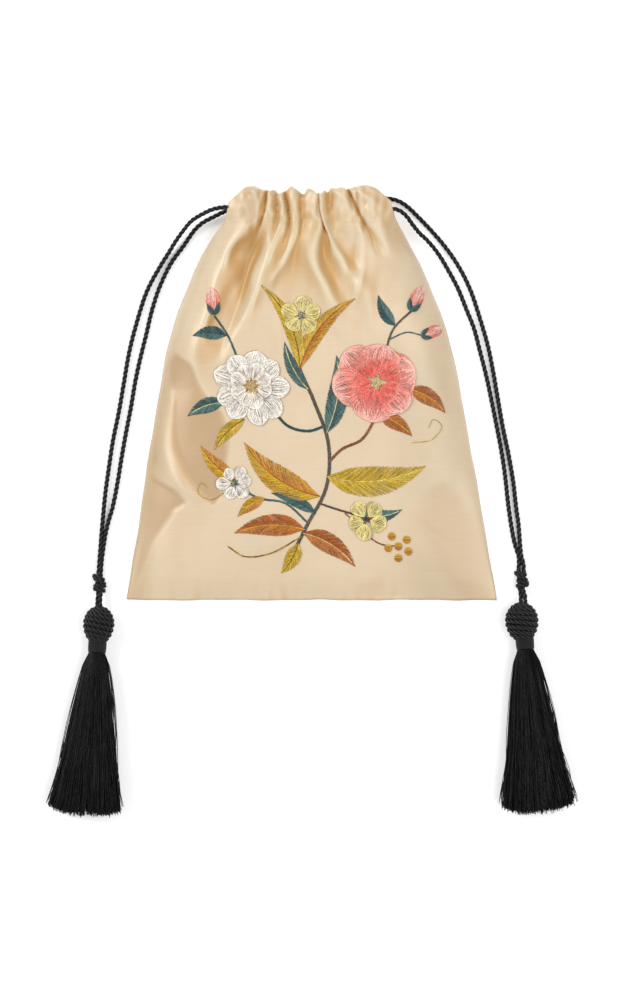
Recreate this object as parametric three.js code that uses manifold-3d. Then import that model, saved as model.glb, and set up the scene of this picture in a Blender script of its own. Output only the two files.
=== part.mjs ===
// A drawstring pouch of champagne silk, lying on its back with its two drawcords laid out.
// Each cord runs once round the mouth through the front and the back casing, comes out
// twice at the same side, and both ends are knotted together above a tassel.
// Millimetres. +Z is up from the table, +Y points to the mouth, +X to the right from above.
// The origin is on the table, under the middle of the bag.

import * as THREE from "three";
import { mergeVertices } from "three/addons/utils/BufferGeometryUtils.js";
import Module from "manifold-3d";

const wasm = await Module();
wasm.setup();

// Silk
const BAG_HEIGHT = 248.4;
const CLOTH = 1.0; // wall of the silk
const SEAM_GAP = 0.3; // between the two panels where they are sewn together
const STITCH_UP = 226; // stitches that close the casing, above the bottom seam
const TOP_DIP = 3; // how far the mouth's edge drops between two ruffles
const LEAF_RECESS = 0.17; // share by which the turned-in leaf stops short of the casing's ends
const LEAF_TUCK = 0.15; // share of the casing in which the leaf leaves the wall and meets it again
const SEAM_ROUND = 3; // how square the swell of the front is across the bag
const SEAM_SWELL = 0.8;
const FOLD_FADE = 1.5; // how soon a fold dies out towards its foot
const SEAM_CLEAR = 9; // how abruptly the folds end at the side seams

// Drawcords and the casings that they run in
const CORD_DIAMETER = 2.6;
const CORD_RADIUS = CORD_DIAMETER / 2;
const CORD_EASE = 0.35; // clearance round a cord in its casing
const CORD_STEP = 3 * CORD_DIAMETER;
const CORD_SIDES = 8;
const JOIN_GAP = 0.3; // between two stretches of cord, or a cord and its knot
const BACK_RUFFLE = 2.5; // how far the back's folds rise off the table
const LEAF_RUFFLE = 1.5; // how far a turned-in leaf bulges into the mouth
const MOUTH_GAP = 6; // clear height of the mouth between the two leaves
const CORE = CORD_RADIUS + CORD_EASE; // half the clear height of a casing
const BACK_CORD_Z = BACK_RUFFLE + CLOTH + CORE;
const MOUTH_FLOOR_Z = BACK_CORD_Z + CORE + LEAF_RUFFLE + CLOTH;
const MOUTH_ROOF_Z = MOUTH_FLOOR_Z + MOUTH_GAP;
const FRONT_CORD_Z = MOUTH_ROOF_Z + CLOTH + LEAF_RUFFLE + CORE;
const CASING_Z = FRONT_CORD_Z + CORE + CLOTH; // outer face of the front casing between ruffles
const SEAM_Z = CLOTH + SEAM_GAP + CLOTH; // outer face of the front at its seams

// Sections across the bag. up: above the bottom seam; left, right: half widths;
// loft, edge: outer face of the front over the table, in the middle and at the sides.
const SECTIONS = [
  { up: 0, left: 110.7, right: 110.7, loft: SEAM_Z, edge: SEAM_Z },
  { up: 14, left: 108.6, right: 108.3, loft: 7, edge: SEAM_Z },
  { up: 48, left: 103.5, right: 102.5, loft: 13.5, edge: SEAM_Z },
  { up: 84, left: 97.5, right: 96.0, loft: 17.5, edge: SEAM_Z },
  { up: 123, left: 90.4, right: 88.6, loft: 20, edge: SEAM_Z },
  { up: 162, left: 82.6, right: 79.6, loft: 21.3, edge: SEAM_Z },
  { up: 194, left: 71.2, right: 67.6, loft: 22, edge: SEAM_Z + 0.4 },
  { up: 212, left: 61.4, right: 59.0, loft: CASING_Z, edge: SEAM_Z + 2 },
  { up: STITCH_UP, left: 52.2, right: 51.8, loft: CASING_Z, edge: 20 },
  { up: 229, left: 51.0, right: 50.4, loft: CASING_Z, edge: CASING_Z },
  { up: 236, left: 49.6, right: 48.2, loft: CASING_Z, edge: CASING_Z },
  { up: BAG_HEIGHT, left: 44.0, right: 43.6, loft: CASING_Z, edge: CASING_Z },
];

// Folds that the gathers send down the front. mouth, foot: where a fold starts at the casing and
// dies out, as shares of the half width; reach: its length below the stitches; rise: its height
// at the casing; wide, spread: its half width at the casing and at its foot.
const FRONT_FOLDS = [
  { mouth: -0.8, foot: -0.8, reach: 104, rise: 5.2, wide: 6.6, spread: 12 },
  { mouth: -0.54, foot: -0.59, reach: 86, rise: 4.6, wide: 3.8, spread: 7.5 },
  { mouth: -0.35, foot: -0.42, reach: 52, rise: 4.9, wide: 3.6, spread: 8 },
  { mouth: -0.1, foot: -0.28, reach: 44, rise: 4.0, wide: 3.6, spread: 7.5 },
  { mouth: 0.09, foot: 0.25, reach: 60, rise: 5.6, wide: 3.8, spread: 8 },
  { mouth: 0.29, foot: 0.45, reach: 52, rise: 4.7, wide: 3.4, spread: 7.5 },
  { mouth: 0.53, foot: 0.37, reach: 62, rise: 5.3, wide: 4.2, spread: 8 },
  { mouth: 0.79, foot: 0.8, reach: 30, rise: 4.8, wide: 6.2, spread: 9 },
];

// Soft folds lower down, each from one place to another. share: of the half width; up: above the
// bottom seam; rise, wide: height and half width of the fold.
const SLUMPS = [
  { from: { share: -0.95, up: 128 }, to: { share: -0.8, up: 72 }, rise: 3.4, wide: 7 },
  { from: { share: 0.86, up: 142 }, to: { share: 0.66, up: 126 }, rise: 1.6, wide: 9 },
];

// The back is pressed flat by the table, so its folds are even and short.
const BACK_FOLD_COUNT = 7;
const BACK_FOLD_REACH = 58;
const BACK_FOLDS = Array.from({ length: BACK_FOLD_COUNT }, (_, i) => {
  const share = (2 * i - BACK_FOLD_COUNT + 1) / BACK_FOLD_COUNT;
  return { mouth: share, foot: share, reach: BACK_FOLD_REACH, rise: BACK_RUFFLE, wide: 4.6, spread: 8 };
});

// Rows of cloth from the bottom seam to the stitches, and shares of the casing above them.
const FRONT_ROWS = [0, 8, 30, 60, 90, 120, 148, 172, 194, 212, STITCH_UP];
const BACK_ROWS = [0, 100, 168, 190, 210, STITCH_UP];
const CASING_SHARES = [LEAF_TUCK, 1 - LEAF_TUCK, 1];
const FRONT_COLUMNS = 36;
const BACK_COLUMNS = 22;

// Where the runs of cord lie in the casings, above the bottom seam, at the end where the cord
// comes out (near) and at the end where it turns from the front to the back (far).
const CASING_RUNS = {
  left: { side: -1, frontNear: 235, frontFar: 239.4, backNear: 233.4, backFar: 232.5 },
  right: { side: 1, frontNear: 233.6, frontFar: 231.2, backNear: 240.5, backFar: 239 },
};
const RUN_NEAR_X = 39; // where a free strand takes over from the run in the casing
const TURN_X = 46.6; // outermost point of a cord's turn at the far end
const TURN_RADIUS = 5.4;
const RUN_PARTS = [0, 0.3, 0.6, 0.9]; // points along a straight run, as shares of its length

// Free strands, from inside the casing to the knot, as [x, y, z].
const TABLE_CLEARANCE = 0.1;
const TABLE_Z = CORD_RADIUS + TABLE_CLEARANCE; // middle of a cord that lies on the table
const STRANDS = {
  left_cord_front: [
    [-39.3, 110.8, FRONT_CORD_Z], [-50.1, 110.9, FRONT_CORD_Z], [-58.4, 109.8, 18.2],
    [-65.8, 106.6, 15], [-72.2, 102.6, 11.2], [-76.7, 97.4, 7.6], [-81.3, 91.1, 4.4],
    [-85.9, 83.6, 2.4], [-89.9, 77.3, 1.6], [-98.6, 61.2, TABLE_Z], [-105.1, 41.2, TABLE_Z],
    [-109.3, 24.6, TABLE_Z], [-112.5, 6.2, TABLE_Z], [-115.7, -12.2, TABLE_Z],
    [-119.1, -28.8, TABLE_Z], [-121.4, -44, TABLE_Z], [-123.6, -60, TABLE_Z],
    [-125.6, -77.8, TABLE_Z], [-127.3, -91.6, TABLE_Z], [-128.3, -100.2, TABLE_Z],
    [-128.7, -108, TABLE_Z],
  ],
  left_cord_back: [
    [-39.3, 109.2, BACK_CORD_Z], [-50.1, 109.2, BACK_CORD_Z], [-59.5, 105.1, 3.9],
    [-65.3, 102, 2.6], [-69.9, 97.9, 1.8], [-76.7, 88.2, TABLE_Z], [-84.2, 77.8, TABLE_Z],
    [-91.1, 63.5, TABLE_Z], [-95.6, 49.8, TABLE_Z], [-99.3, 34.3, TABLE_Z],
    [-103, 19.4, TABLE_Z], [-105.9, 5.6, TABLE_Z], [-108.2, -8.2, TABLE_Z],
    [-111.1, -23.1, TABLE_Z], [-113.6, -37.1, TABLE_Z], [-117.1, -55.4, TABLE_Z],
    [-119.7, -68.6, TABLE_Z], [-122.3, -81.2, TABLE_Z], [-124.1, -91.6, TABLE_Z],
    [-125.2, -100.2, TABLE_Z], [-125.5, -108, TABLE_Z],
  ],
  right_cord_front: [
    [39.3, 109.4, FRONT_CORD_Z], [47.1, 110, FRONT_CORD_Z], [52.6, 108.8, 19],
    [57, 105.2, 17.2], [60.4, 100.6, 14.6], [64.8, 95.4, 11], [69.2, 91.4, 8],
    [75.9, 83.5, 4], [82.2, 73.2, 1.9], [88, 62.3, TABLE_Z], [93.1, 49.6, TABLE_Z],
    [97.4, 38.9, TABLE_Z], [100.9, 25.7, TABLE_Z], [104.7, 10.8, TABLE_Z],
    [107.8, -3.6, TABLE_Z], [110.9, -19.1, TABLE_Z], [114.1, -35.9, TABLE_Z],
    [116.5, -50.3, TABLE_Z], [118.4, -66.9, TABLE_Z], [121, -84.7, TABLE_Z],
    [123.7, -99.2, TABLE_Z], [124.3, -105.7, TABLE_Z],
  ],
  right_cord_back: [
    [39.3, 116.3, BACK_CORD_Z], [43.7, 116.6, BACK_CORD_Z], [49.2, 115.9, 4.8],
    [54.1, 114, 3.7], [58.4, 110.9, 2.5], [62.9, 106.6, 1.7], [71.9, 97.3, TABLE_Z],
    [81.1, 86.4, TABLE_Z], [89.1, 74.4, TABLE_Z], [95.5, 61.2, TABLE_Z], [101.4, 43.5, TABLE_Z],
    [105.7, 28.6, TABLE_Z], [108.9, 13.1, TABLE_Z], [111.8, -3.6, TABLE_Z],
    [114.7, -20.2, TABLE_Z], [118, -35.9, TABLE_Z], [120.9, -52.6, TABLE_Z],
    [123.2, -69.8, TABLE_Z], [125.1, -87, TABLE_Z], [127.1, -99.2, TABLE_Z],
    [127.5, -105.7, TABLE_Z],
  ],
};

// Tassels. x, y: middle of the ball; lean: turn of the tassel on the table, in degrees;
// knotTop: where the strands enter the knot.
const TASSELS = {
  left: { x: -127.4, y: -138.4, lean: -3.7, knotX: -127.1, knotTop: -108.5 },
  right: { x: 126.7, y: -136.4, lean: 4.7, knotX: 125.9, knotTop: -106.2 },
};
const BALL_RADIUS = 9.6; // across the tassel, so also its height over the table
const BALL_HALF = 10.6; // along the tassel
const BALL_STARTS = 5; // cords wound side by side round the ball
const BALL_TURN = 1.1; // how far each winds round from pole to pole, in turns of a start
const BALL_GROOVE = 0.035;
const BALL_SEGMENTS = 20;
const BALL_RINGS = 9;
const COLLAR_RADIUS = 5.4;
const COLLAR_LENGTH = 7;
const COLLAR_TURNS = 3; // turns of binding thread that show as ribs
const COLLAR_RIB = 0.35;
const COLLAR_SEGMENTS = 12;
const SKIRT_LENGTH = 96;
const SKIRT_NECK = 5; // radius under the collar
const SKIRT_END = 22.4; // half the width of the hem
const SKIRT_FLAT = 0.42; // how far the table flattens the hem
const LOCKS = 12;
const LOCK_SIDES = 6;
const LOCK_NECK = 1.6; // radius of a lock at the neck and at the hem
const LOCK_END = 4.4;
const LOCK_RAGGED = 1.4; // step between the lengths of neighbouring locks
const CORE_SHORT = 6; // how far the core of the fringe stops short of the hem
const KNOT_LENGTH = 11.4;
const KNOT_SIDES = 5;
const KNOT_SLANT = 24; // of each wrap, in degrees
const KNOT_RING = 2.75; // middle of the cord that is wrapped round the other two
const KNOT_Z = KNOT_RING + CORD_RADIUS + TABLE_CLEARANCE;
const KNOT_STRAND = 1.6; // middle of each strand from the middle of the knot
const KNOT_PINCH = 0.3; // how much closer the strands lie inside the knot
const WRAP_SHIFT = 0.4; // sideways step from one wrap to the next
const BALL_TOP_Z = 7.6; // where the strands enter the ball

const silk = new THREE.MeshStandardMaterial({ color: 0xdcc49e, roughness: 0.42, metalness: 0 });
const cordBlack = new THREE.MeshStandardMaterial({ color: 0x17161a, roughness: 0.6, metalness: 0 });
const tasselBlack = new THREE.MeshStandardMaterial({ color: 0x0f0e11, roughness: 0.5, metalness: 0 });

const NUDGE = 0.01; // step for the slope of a surface
const WELD = 1e-3; // vertices closer than this are one
const { lerp, clamp, degToRad } = THREE.MathUtils;

// A smooth function through one column of SECTIONS that never overshoots its rows.
function column(key) {
  const ups = SECTIONS.map((row) => row.up);
  const values = SECTIONS.map((row) => row[key]);
  const slopes = ups.slice(1).map((up, i) => (values[i + 1] - values[i]) / (up - ups[i]));
  const tangents = values.map((_, i) => {
    const before = slopes[Math.max(i - 1, 0)];
    const after = slopes[Math.min(i, slopes.length - 1)];
    return before * after > 0 ? (2 * before * after) / (before + after) : 0;
  });
  return (up) => {
    const i = clamp(ups.findLastIndex((row) => row <= up), 0, slopes.length - 1);
    const span = ups[i + 1] - ups[i];
    const t = clamp((up - ups[i]) / span, 0, 1);
    const rest = 1 - t;
    return (
      values[i] * rest * rest * (1 + 2 * t) +
      values[i + 1] * t * t * (3 - 2 * t) +
      span * t * rest * (tangents[i] * rest - tangents[i + 1] * t)
    );
  };
}

const leftAt = column("left");
const rightAt = column("right");
const loftAt = column("loft");
const edgeAt = column("edge");
const halfWidth = (share, up) => (share < 0 ? leftAt(up) : rightAt(up));

// Folds die out at the side seams.
const clearOfSeam = (share) => 1 - Math.min(Math.abs(share), 1) ** SEAM_CLEAR;

// Height that a set of folds adds at one place on a panel.
function folded(folds, share, up) {
  const half = halfWidth(share, up);
  return folds.reduce((height, fold) => {
    const along = clamp((up - STITCH_UP + fold.reach) / fold.reach, 0, 1);
    const middle = lerp(fold.foot, fold.mouth, along);
    const width = lerp(fold.spread, fold.wide, along);
    const off = ((share - middle) * half) / width;
    const strength = Math.sin((along * Math.PI) / 2) ** FOLD_FADE;
    return height + fold.rise * strength * Math.exp(-off * off) * clearOfSeam(share);
  }, 0);
}

// Height that the soft folds lower down add.
function slumped(share, up) {
  const here = place(share, up, 0);
  const nearest = new THREE.Vector3();
  return SLUMPS.reduce((height, { from, to, rise, wide }) => {
    const crest = new THREE.Line3(place(from.share, from.up, 0), place(to.share, to.up, 0));
    crest.closestPointToPoint(here, true, nearest);
    const off = here.distanceTo(nearest) / wide;
    return height + rise * Math.exp(-off * off) * clearOfSeam(share);
  }, 0);
}

// The mouth's edge, which dips between the ruffles.
function topAt(folds, share) {
  const highest = Math.max(...folds.map((fold) => fold.rise));
  const ruffle = Math.min(folded(folds, share, BAG_HEIGHT) / highest, 1);
  return BAG_HEIGHT - TOP_DIP * (1 - ruffle);
}

// Outer face of each panel over the table.
function frontZ(share, up) {
  const swell = (1 - Math.min(Math.abs(share), 1) ** SEAM_ROUND) ** SEAM_SWELL;
  return lerp(edgeAt(up), loftAt(up), swell) + folded(FRONT_FOLDS, share, up) + slumped(share, up);
}
const backZ = (share, up) => folded(BACK_FOLDS, share, up);

// A place on a panel from its share of the half width, its height above the seam and its z.
function place(share, up, z) {
  return new THREE.Vector3(share * halfWidth(share, up), up - BAG_HEIGHT / 2, z);
}

// Solid between two faces of cloth, given as grids of points with columns across and rows up.
function slab(outer, inner) {
  const columns = outer.length - 1;
  const rows = outer[0].length - 1;
  const points = [...outer.flat(), ...inner.flat()];
  const outerAt = (i, j) => i * (rows + 1) + j;
  const innerAt = (i, j) => outer.length * (rows + 1) + outerAt(i, j);
  const triangles = [];
  const quad = (a, b, c, d) => triangles.push(a, b, c, a, c, d);
  for (let i = 0; i < columns; i++) {
    for (let j = 0; j < rows; j++) {
      quad(outerAt(i, j), outerAt(i + 1, j), outerAt(i + 1, j + 1), outerAt(i, j + 1));
      quad(innerAt(i, j), innerAt(i, j + 1), innerAt(i + 1, j + 1), innerAt(i + 1, j));
    }
    quad(innerAt(i, 0), innerAt(i + 1, 0), outerAt(i + 1, 0), outerAt(i, 0));
    quad(outerAt(i, rows), outerAt(i + 1, rows), innerAt(i + 1, rows), innerAt(i, rows));
  }
  for (let j = 0; j < rows; j++) {
    quad(innerAt(0, j + 1), innerAt(0, j), outerAt(0, j), outerAt(0, j + 1));
    quad(outerAt(columns, j + 1), outerAt(columns, j), innerAt(columns, j), innerAt(columns, j + 1));
  }
  const geometry = new THREE.BufferGeometry();
  geometry.setAttribute(
    "position",
    new THREE.Float32BufferAttribute(points.flatMap((point) => point.toArray()), 3),
  );
  geometry.setIndex(triangles);
  return geometry;
}

// Geometry to a manifold-3d solid, and back.
function toSolid(geometry) {
  const bare = geometry.clone();
  bare.deleteAttribute("normal");
  bare.deleteAttribute("uv");
  const merged = mergeVertices(bare, WELD);
  const triVerts = new Uint32Array(merged.index.array);
  const vertProperties = new Float32Array(merged.attributes.position.array);
  return new wasm.Manifold(new wasm.Mesh({ numProp: 3, vertProperties, triVerts }));
}

function fuse(geometries) {
  const solid = geometries.map(toSolid).reduce((whole, next) => whole.add(next));
  const { numProp, vertProperties, triVerts } = solid.getMesh();
  const geometry = new THREE.BufferGeometry();
  const positions = Array.from(vertProperties).filter((_, i) => i % numProp < 3);
  geometry.setAttribute("position", new THREE.Float32BufferAttribute(positions, 3));
  geometry.setIndex(Array.from(triVerts));
  return geometry;
}

// One panel of silk: its wall from the bottom seam to the mouth, and the edge that is turned
// in over the drawcords and sewn down. inward is the z direction of the bag's inside.
function panel({ folds, outerZ, inward, cordZ, rows, columns }) {
  const shares = Array.from({ length: columns + 1 }, (_, i) => (2 * i) / columns - 1);
  const casingUp = (share, part) => lerp(STITCH_UP, topAt(folds, share), part);
  const upsAt = (share) => [...rows, ...CASING_SHARES.map((part) => casingUp(share, part))];
  const surface = (share, up) => place(share, up, outerZ(share, up));

  const inside = (share, up) => {
    const across = surface(share + NUDGE, up).sub(surface(share - NUDGE, up));
    const along = surface(share, up + NUDGE).sub(surface(share, up - NUDGE));
    const normal = across.cross(along).normalize();
    return surface(share, up).addScaledVector(normal, inward * CLOTH);
  };
  const wall = slab(
    shares.map((share) => upsAt(share).map((up) => surface(share, up))),
    shares.map((share) => upsAt(share).map((up) => inside(share, up))),
  );

  // The leaf starts and ends inside the wall, and lies clear of the cords in between.
  const leafParts = [0, ...CASING_SHARES];
  const leafAt = (share, part, depth) => {
    const full = clamp(Math.min(part, 1 - part) / LEAF_TUCK, 0, 1);
    const held = share * (1 - LEAF_RECESS * full);
    const up = casingUp(held, part) - (part === 1 ? CLOTH / 2 : 0);
    const bulge = (LEAF_RUFFLE * folded(folds, held, up)) / Math.max(...folds.map((fold) => fold.rise));
    const clear = cordZ + inward * (CORE + Math.min(bulge, LEAF_RUFFLE));
    const sewn = outerZ(held, up) + (inward * CLOTH) / 2;
    return place(held, up, lerp(sewn, clear, full) + inward * depth);
  };
  const leaf = slab(
    shares.map((share) => leafParts.map((part) => leafAt(share, part, 0))),
    shares.map((share) => leafParts.map((part) => leafAt(share, part, CLOTH))),
  );
  return fuse([wall, leaf].map((geometry) => (inward > 0 ? turned(geometry) : geometry)));
}

// The same faces looking the other way.
function turned(geometry) {
  const index = Array.from(geometry.index.array);
  for (let i = 0; i < index.length; i += 3) {
    [index[i + 1], index[i + 2]] = [index[i + 2], index[i + 1]];
  }
  return geometry.setIndex(index);
}

// A round cord along a list of points.
function cord(points) {
  const path = new THREE.CatmullRomCurve3(points.map((point) => new THREE.Vector3(...point)));
  const section = new THREE.Shape().absarc(0, 0, CORD_RADIUS, 0, 2 * Math.PI);
  return new THREE.ExtrudeGeometry(section, {
    steps: Math.ceil(path.getLength() / CORD_STEP),
    curveSegments: CORD_SIDES / 2,
    extrudePath: path,
  });
}

// The stretch of a drawcord inside the casings: along the front, round the far end, back again.
function casingRun({ side, frontNear, frontFar, backNear, backFar }) {
  const nearX = side * (RUN_NEAR_X - JOIN_GAP);
  const turnX = -side * (TURN_X - TURN_RADIUS);
  const drop = FRONT_CORD_Z - BACK_CORD_Z;
  const runAt = (near, far, z) => (part) => {
    return [lerp(nearX, turnX, part), lerp(near, far, part) - BAG_HEIGHT / 2, z];
  };
  const points = RUN_PARTS.map(runAt(frontNear, frontFar, FRONT_CORD_Z));
  const quarter = [0, 30, 60, 90].map(degToRad);
  const arc = [
    ...quarter.map((angle) => [Math.sin(angle), TURN_RADIUS * (1 - Math.cos(angle))]),
    ...quarter.reverse().map((angle) => [Math.sin(angle), drop - TURN_RADIUS * (1 - Math.cos(angle))]),
  ];
  for (const [out, down] of arc) {
    const up = lerp(frontFar, backFar, down / drop);
    points.push([turnX - side * TURN_RADIUS * out, up - BAG_HEIGHT / 2, FRONT_CORD_Z - down]);
  }
  points.push(...RUN_PARTS.map(runAt(backNear, backFar, BACK_CORD_Z)).reverse());
  return cord(points);
}

// Both strands tied together: two run through to the ball, and a slanting wrap crosses over them.
function knot({ x, y, knotX, knotTop }) {
  const middle = knotTop - KNOT_LENGTH / 2;
  const ballTop = y + BALL_HALF + JOIN_GAP;
  const strands = [-1, 1].map((side) =>
    cord([
      [knotX + side * KNOT_STRAND, knotTop, TABLE_Z],
      [knotX + side * KNOT_STRAND, knotTop - CORD_RADIUS, TABLE_Z],
      [knotX + side * (KNOT_STRAND - KNOT_PINCH), middle, KNOT_Z],
      [x + side * KNOT_STRAND, ballTop, BALL_TOP_Z],
    ]),
  );
  const wraps = [-1, 0, 1].map((step) => {
    const wrap = new THREE.TorusGeometry(KNOT_RING, CORD_RADIUS, KNOT_SIDES, 2 * KNOT_SIDES - 2);
    wrap.rotateX(Math.PI / 2).rotateZ(degToRad(step === 0 ? -KNOT_SLANT : KNOT_SLANT));
    return wrap.translate(knotX + WRAP_SHIFT * step, middle - (step * KNOT_LENGTH) / 4, KNOT_Z);
  });
  return fuse([...strands, ...wraps]);
}

// Ball wound with cords that slant from pole to pole.
function ball() {
  const geometry = new THREE.SphereGeometry(1, BALL_SEGMENTS, BALL_RINGS);
  const position = geometry.attributes.position;
  for (let i = 0; i < position.count; i++) {
    const point = new THREE.Vector3().fromBufferAttribute(position, i);
    const { phi, theta } = new THREE.Spherical().setFromVector3(point);
    const wound = Math.cos(BALL_STARTS * (theta + BALL_TURN * phi)) * Math.sin(phi);
    point.multiplyScalar(1 - BALL_GROOVE * (1 - wound));
    position.setXYZ(i, point.x, point.y, point.z);
  }
  return geometry.scale(BALL_RADIUS, BALL_HALF, BALL_RADIUS);
}

// Neck bound with thread.
function collar() {
  const turn = COLLAR_LENGTH / COLLAR_TURNS;
  const profile = [new THREE.Vector2(0, -COLLAR_LENGTH), new THREE.Vector2(COLLAR_RADIUS, -COLLAR_LENGTH)];
  for (let i = 0; i < COLLAR_TURNS; i++) {
    const foot = i * turn - COLLAR_LENGTH;
    profile.push(new THREE.Vector2(COLLAR_RADIUS + COLLAR_RIB, foot + turn / 2));
    profile.push(new THREE.Vector2(COLLAR_RADIUS, foot + turn));
  }
  profile.push(new THREE.Vector2(0, 0));
  return new THREE.LatheGeometry(profile, COLLAR_SEGMENTS);
}

// Fringe: locks of thread round a core, fanned out and flattened by the table.
function skirt() {
  const coreLength = SKIRT_LENGTH - CORE_SHORT;
  const core = new THREE.CylinderGeometry(SKIRT_NECK - JOIN_GAP, SKIRT_END - LOCK_END, coreLength, LOCKS);
  core.translate(0, -coreLength / 2, 0);
  const locks = Array.from({ length: LOCKS }, (_, i) => {
    const turn = (2 * Math.PI * i) / LOCKS;
    const length = SKIRT_LENGTH - LOCK_RAGGED * ((i * 5) % 3);
    const fan = Math.atan2(SKIRT_END - LOCK_END - SKIRT_NECK + LOCK_NECK, SKIRT_LENGTH);
    const lock = new THREE.CylinderGeometry(LOCK_NECK, LOCK_END, length, LOCK_SIDES);
    lock.translate(0, -length / 2, 0).rotateZ(fan);
    return lock.translate(SKIRT_NECK - LOCK_NECK, 0, 0).rotateY(turn);
  });
  const geometry = fuse([core, ...locks]);
  const position = geometry.attributes.position;
  for (let i = 0; i < position.count; i++) {
    const down = clamp(-position.getY(i) / SKIRT_LENGTH, 0, 1);
    position.setZ(i, position.getZ(i) * lerp(1, SKIRT_FLAT, down));
  }
  return geometry;
}

function add(parent, name, geometry, material) {
  const mesh = new THREE.Mesh(geometry, material);
  mesh.name = name;
  parent.add(mesh);
  return mesh;
}

const pouch = new THREE.Group();

add(
  pouch,
  "front_panel",
  panel({
    folds: FRONT_FOLDS,
    outerZ: frontZ,
    inward: -1,
    cordZ: FRONT_CORD_Z,
    rows: FRONT_ROWS,
    columns: FRONT_COLUMNS,
  }),
  silk,
);
add(
  pouch,
  "back_panel",
  panel({
    folds: BACK_FOLDS,
    outerZ: backZ,
    inward: 1,
    cordZ: BACK_CORD_Z,
    rows: BACK_ROWS,
    columns: BACK_COLUMNS,
  }),
  silk,
);

for (const [name, points] of Object.entries(STRANDS)) {
  add(pouch, name, cord(points), cordBlack);
}

for (const [side, tassel] of Object.entries(TASSELS)) {
  add(pouch, `${side}_cord_in_casing`, casingRun(CASING_RUNS[side]), cordBlack);
  add(pouch, `${side}_knot`, knot(tassel), cordBlack);

  const hung = new THREE.Group();
  hung.position.set(tassel.x, tassel.y, BALL_RADIUS);
  hung.rotation.z = degToRad(tassel.lean);
  add(hung, `${side}_tassel_ball`, ball(), cordBlack);
  const collarTop = -BALL_HALF + JOIN_GAP;
  add(hung, `${side}_tassel_collar`, collar(), tasselBlack).position.y = collarTop;
  const skirtTop = collarTop - COLLAR_LENGTH - JOIN_GAP;
  add(hung, `${side}_tassel_skirt`, skirt(), tasselBlack).position.y = skirtTop;
  pouch.add(hung);
}

export default pouch;
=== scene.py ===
"""A silk drawstring pouch with embroidered flowers, twisted drawcords and black tassels.

The pouch lies on its back, seen from straight above. Sizes are in millimetres unless a name says
otherwise, and every mesh is written in metres.
"""

import math

import bpy
import numpy as np
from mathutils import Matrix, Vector


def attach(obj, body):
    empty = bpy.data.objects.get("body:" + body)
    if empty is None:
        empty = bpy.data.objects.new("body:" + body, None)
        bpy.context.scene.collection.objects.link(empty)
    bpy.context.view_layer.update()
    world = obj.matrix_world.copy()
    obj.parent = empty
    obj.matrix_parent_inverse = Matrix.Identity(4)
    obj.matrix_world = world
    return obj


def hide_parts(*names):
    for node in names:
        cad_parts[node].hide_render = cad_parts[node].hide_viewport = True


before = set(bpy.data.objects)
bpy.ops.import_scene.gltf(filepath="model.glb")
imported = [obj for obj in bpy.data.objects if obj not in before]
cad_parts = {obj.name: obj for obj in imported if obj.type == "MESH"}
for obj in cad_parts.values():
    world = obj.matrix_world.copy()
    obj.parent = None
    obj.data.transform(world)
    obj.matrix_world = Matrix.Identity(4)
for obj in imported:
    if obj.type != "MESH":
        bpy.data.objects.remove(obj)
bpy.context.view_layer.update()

MM = 0.001

# Bag
BAG_HEIGHT = 248.4
STITCH_UP = 226.0
SILK_THICKNESS = 0.5
BACK_CORD_Z = 5.15
FRONT_CORD_Z = 19.45
CASING_Z = 22.1
SEAM_Z = 1.0  # where the front meets the back at the seams
FRONT_LOWEST = 0.7  # the lowest that a fold of the front reaches
BACK_Z = 0.35
CORD_CLEARANCE = 1.9  # from a cord's middle to the cloth inside its casing

# Cords
CORD_DIAMETER = 2.6
CORD_LAY = 9.5  # length of one turn of the twist
TABLE_Z = 1.4

# Tassels
BALL_HALF = 10.6
BALL_CORD = 2.75
COLLAR_RADIUS = 5.4
COLLAR_LENGTH = 7.0
NECK_RADIUS = COLLAR_RADIUS - 0.4
NECK_TUCK = 1.2  # of the neck into the ball
BINDING_THREAD = 0.56
FRINGE_THREAD = 0.5
FRINGE_CORE = 0.78  # share of the fringe's width that its core fills
CORE_INSET = 1.6  # of the ball's core under its outline
SKIRT_LENGTH = 96.0
SKIRT_END = 22.4
SKIRT_NECK = 5.0
SKIRT_FLAT = 0.42  # depth of the hem over its width
BALL_Z = 9.6
BALL_TOP_Z = 7.6
JOIN_GAP = 0.3  # small shift where two pieces meet
KNOT_LENGTH = 11.4
KNOT_Z = 4.15
KNOT_RING = 2.75
# Each tassel's ends are where the two strands come into the knot, as (x, z); its wraps in the knot are (up
# from its middle, slant in degrees, sideways); its strands' places below the knot are how far each is off
# the middle at the knot's foot, halfway and at the ball; and its ball is (radius, half height above and
# below its widest turn, sideways).
TASSELS = {
    "left": {"x": -127.4, "y": -138.4, "lean": -3.7, "knot_x": -127.1, "knot_top": -108.5,
             "wraps": [(3.3, -24, -0.5), (1.2, -32, 0.2), (-1.5, 2, 0.3), (-3.8, -12, -0.1)],
             "ends": [(-127.7, 2.6), (-126.4, TABLE_Z)], "strands": (0.75, 0.8, 0.9),
             "ball": (9.5, 10.9, 12.6, 0.0)},
    "right": {"x": 126.7, "y": -136.4, "lean": 4.7, "knot_x": 125.9, "knot_top": -106.2,
              "wraps": [(3.5, -8, -0.6), (1.4, -34, 0.1), (-1.4, -16, 0.7), (-3.5, 8, 0.4)],
              "ends": [(124.3, TABLE_Z), (127.3, TABLE_Z)], "strands": (0.9, 1.2, 1.35),
              "ball": (10.1, 11.2, 13.0, -0.8)},
}

# Camera: the photograph looks straight down on the table
VIEW_X = 0.3
VIEW_Y = -64.2
VIEW_HEIGHT = 600.0  # of the table, from the picture's top to its bottom
CAMERA_Z = 5000.0
SENSOR = 36.0

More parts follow.
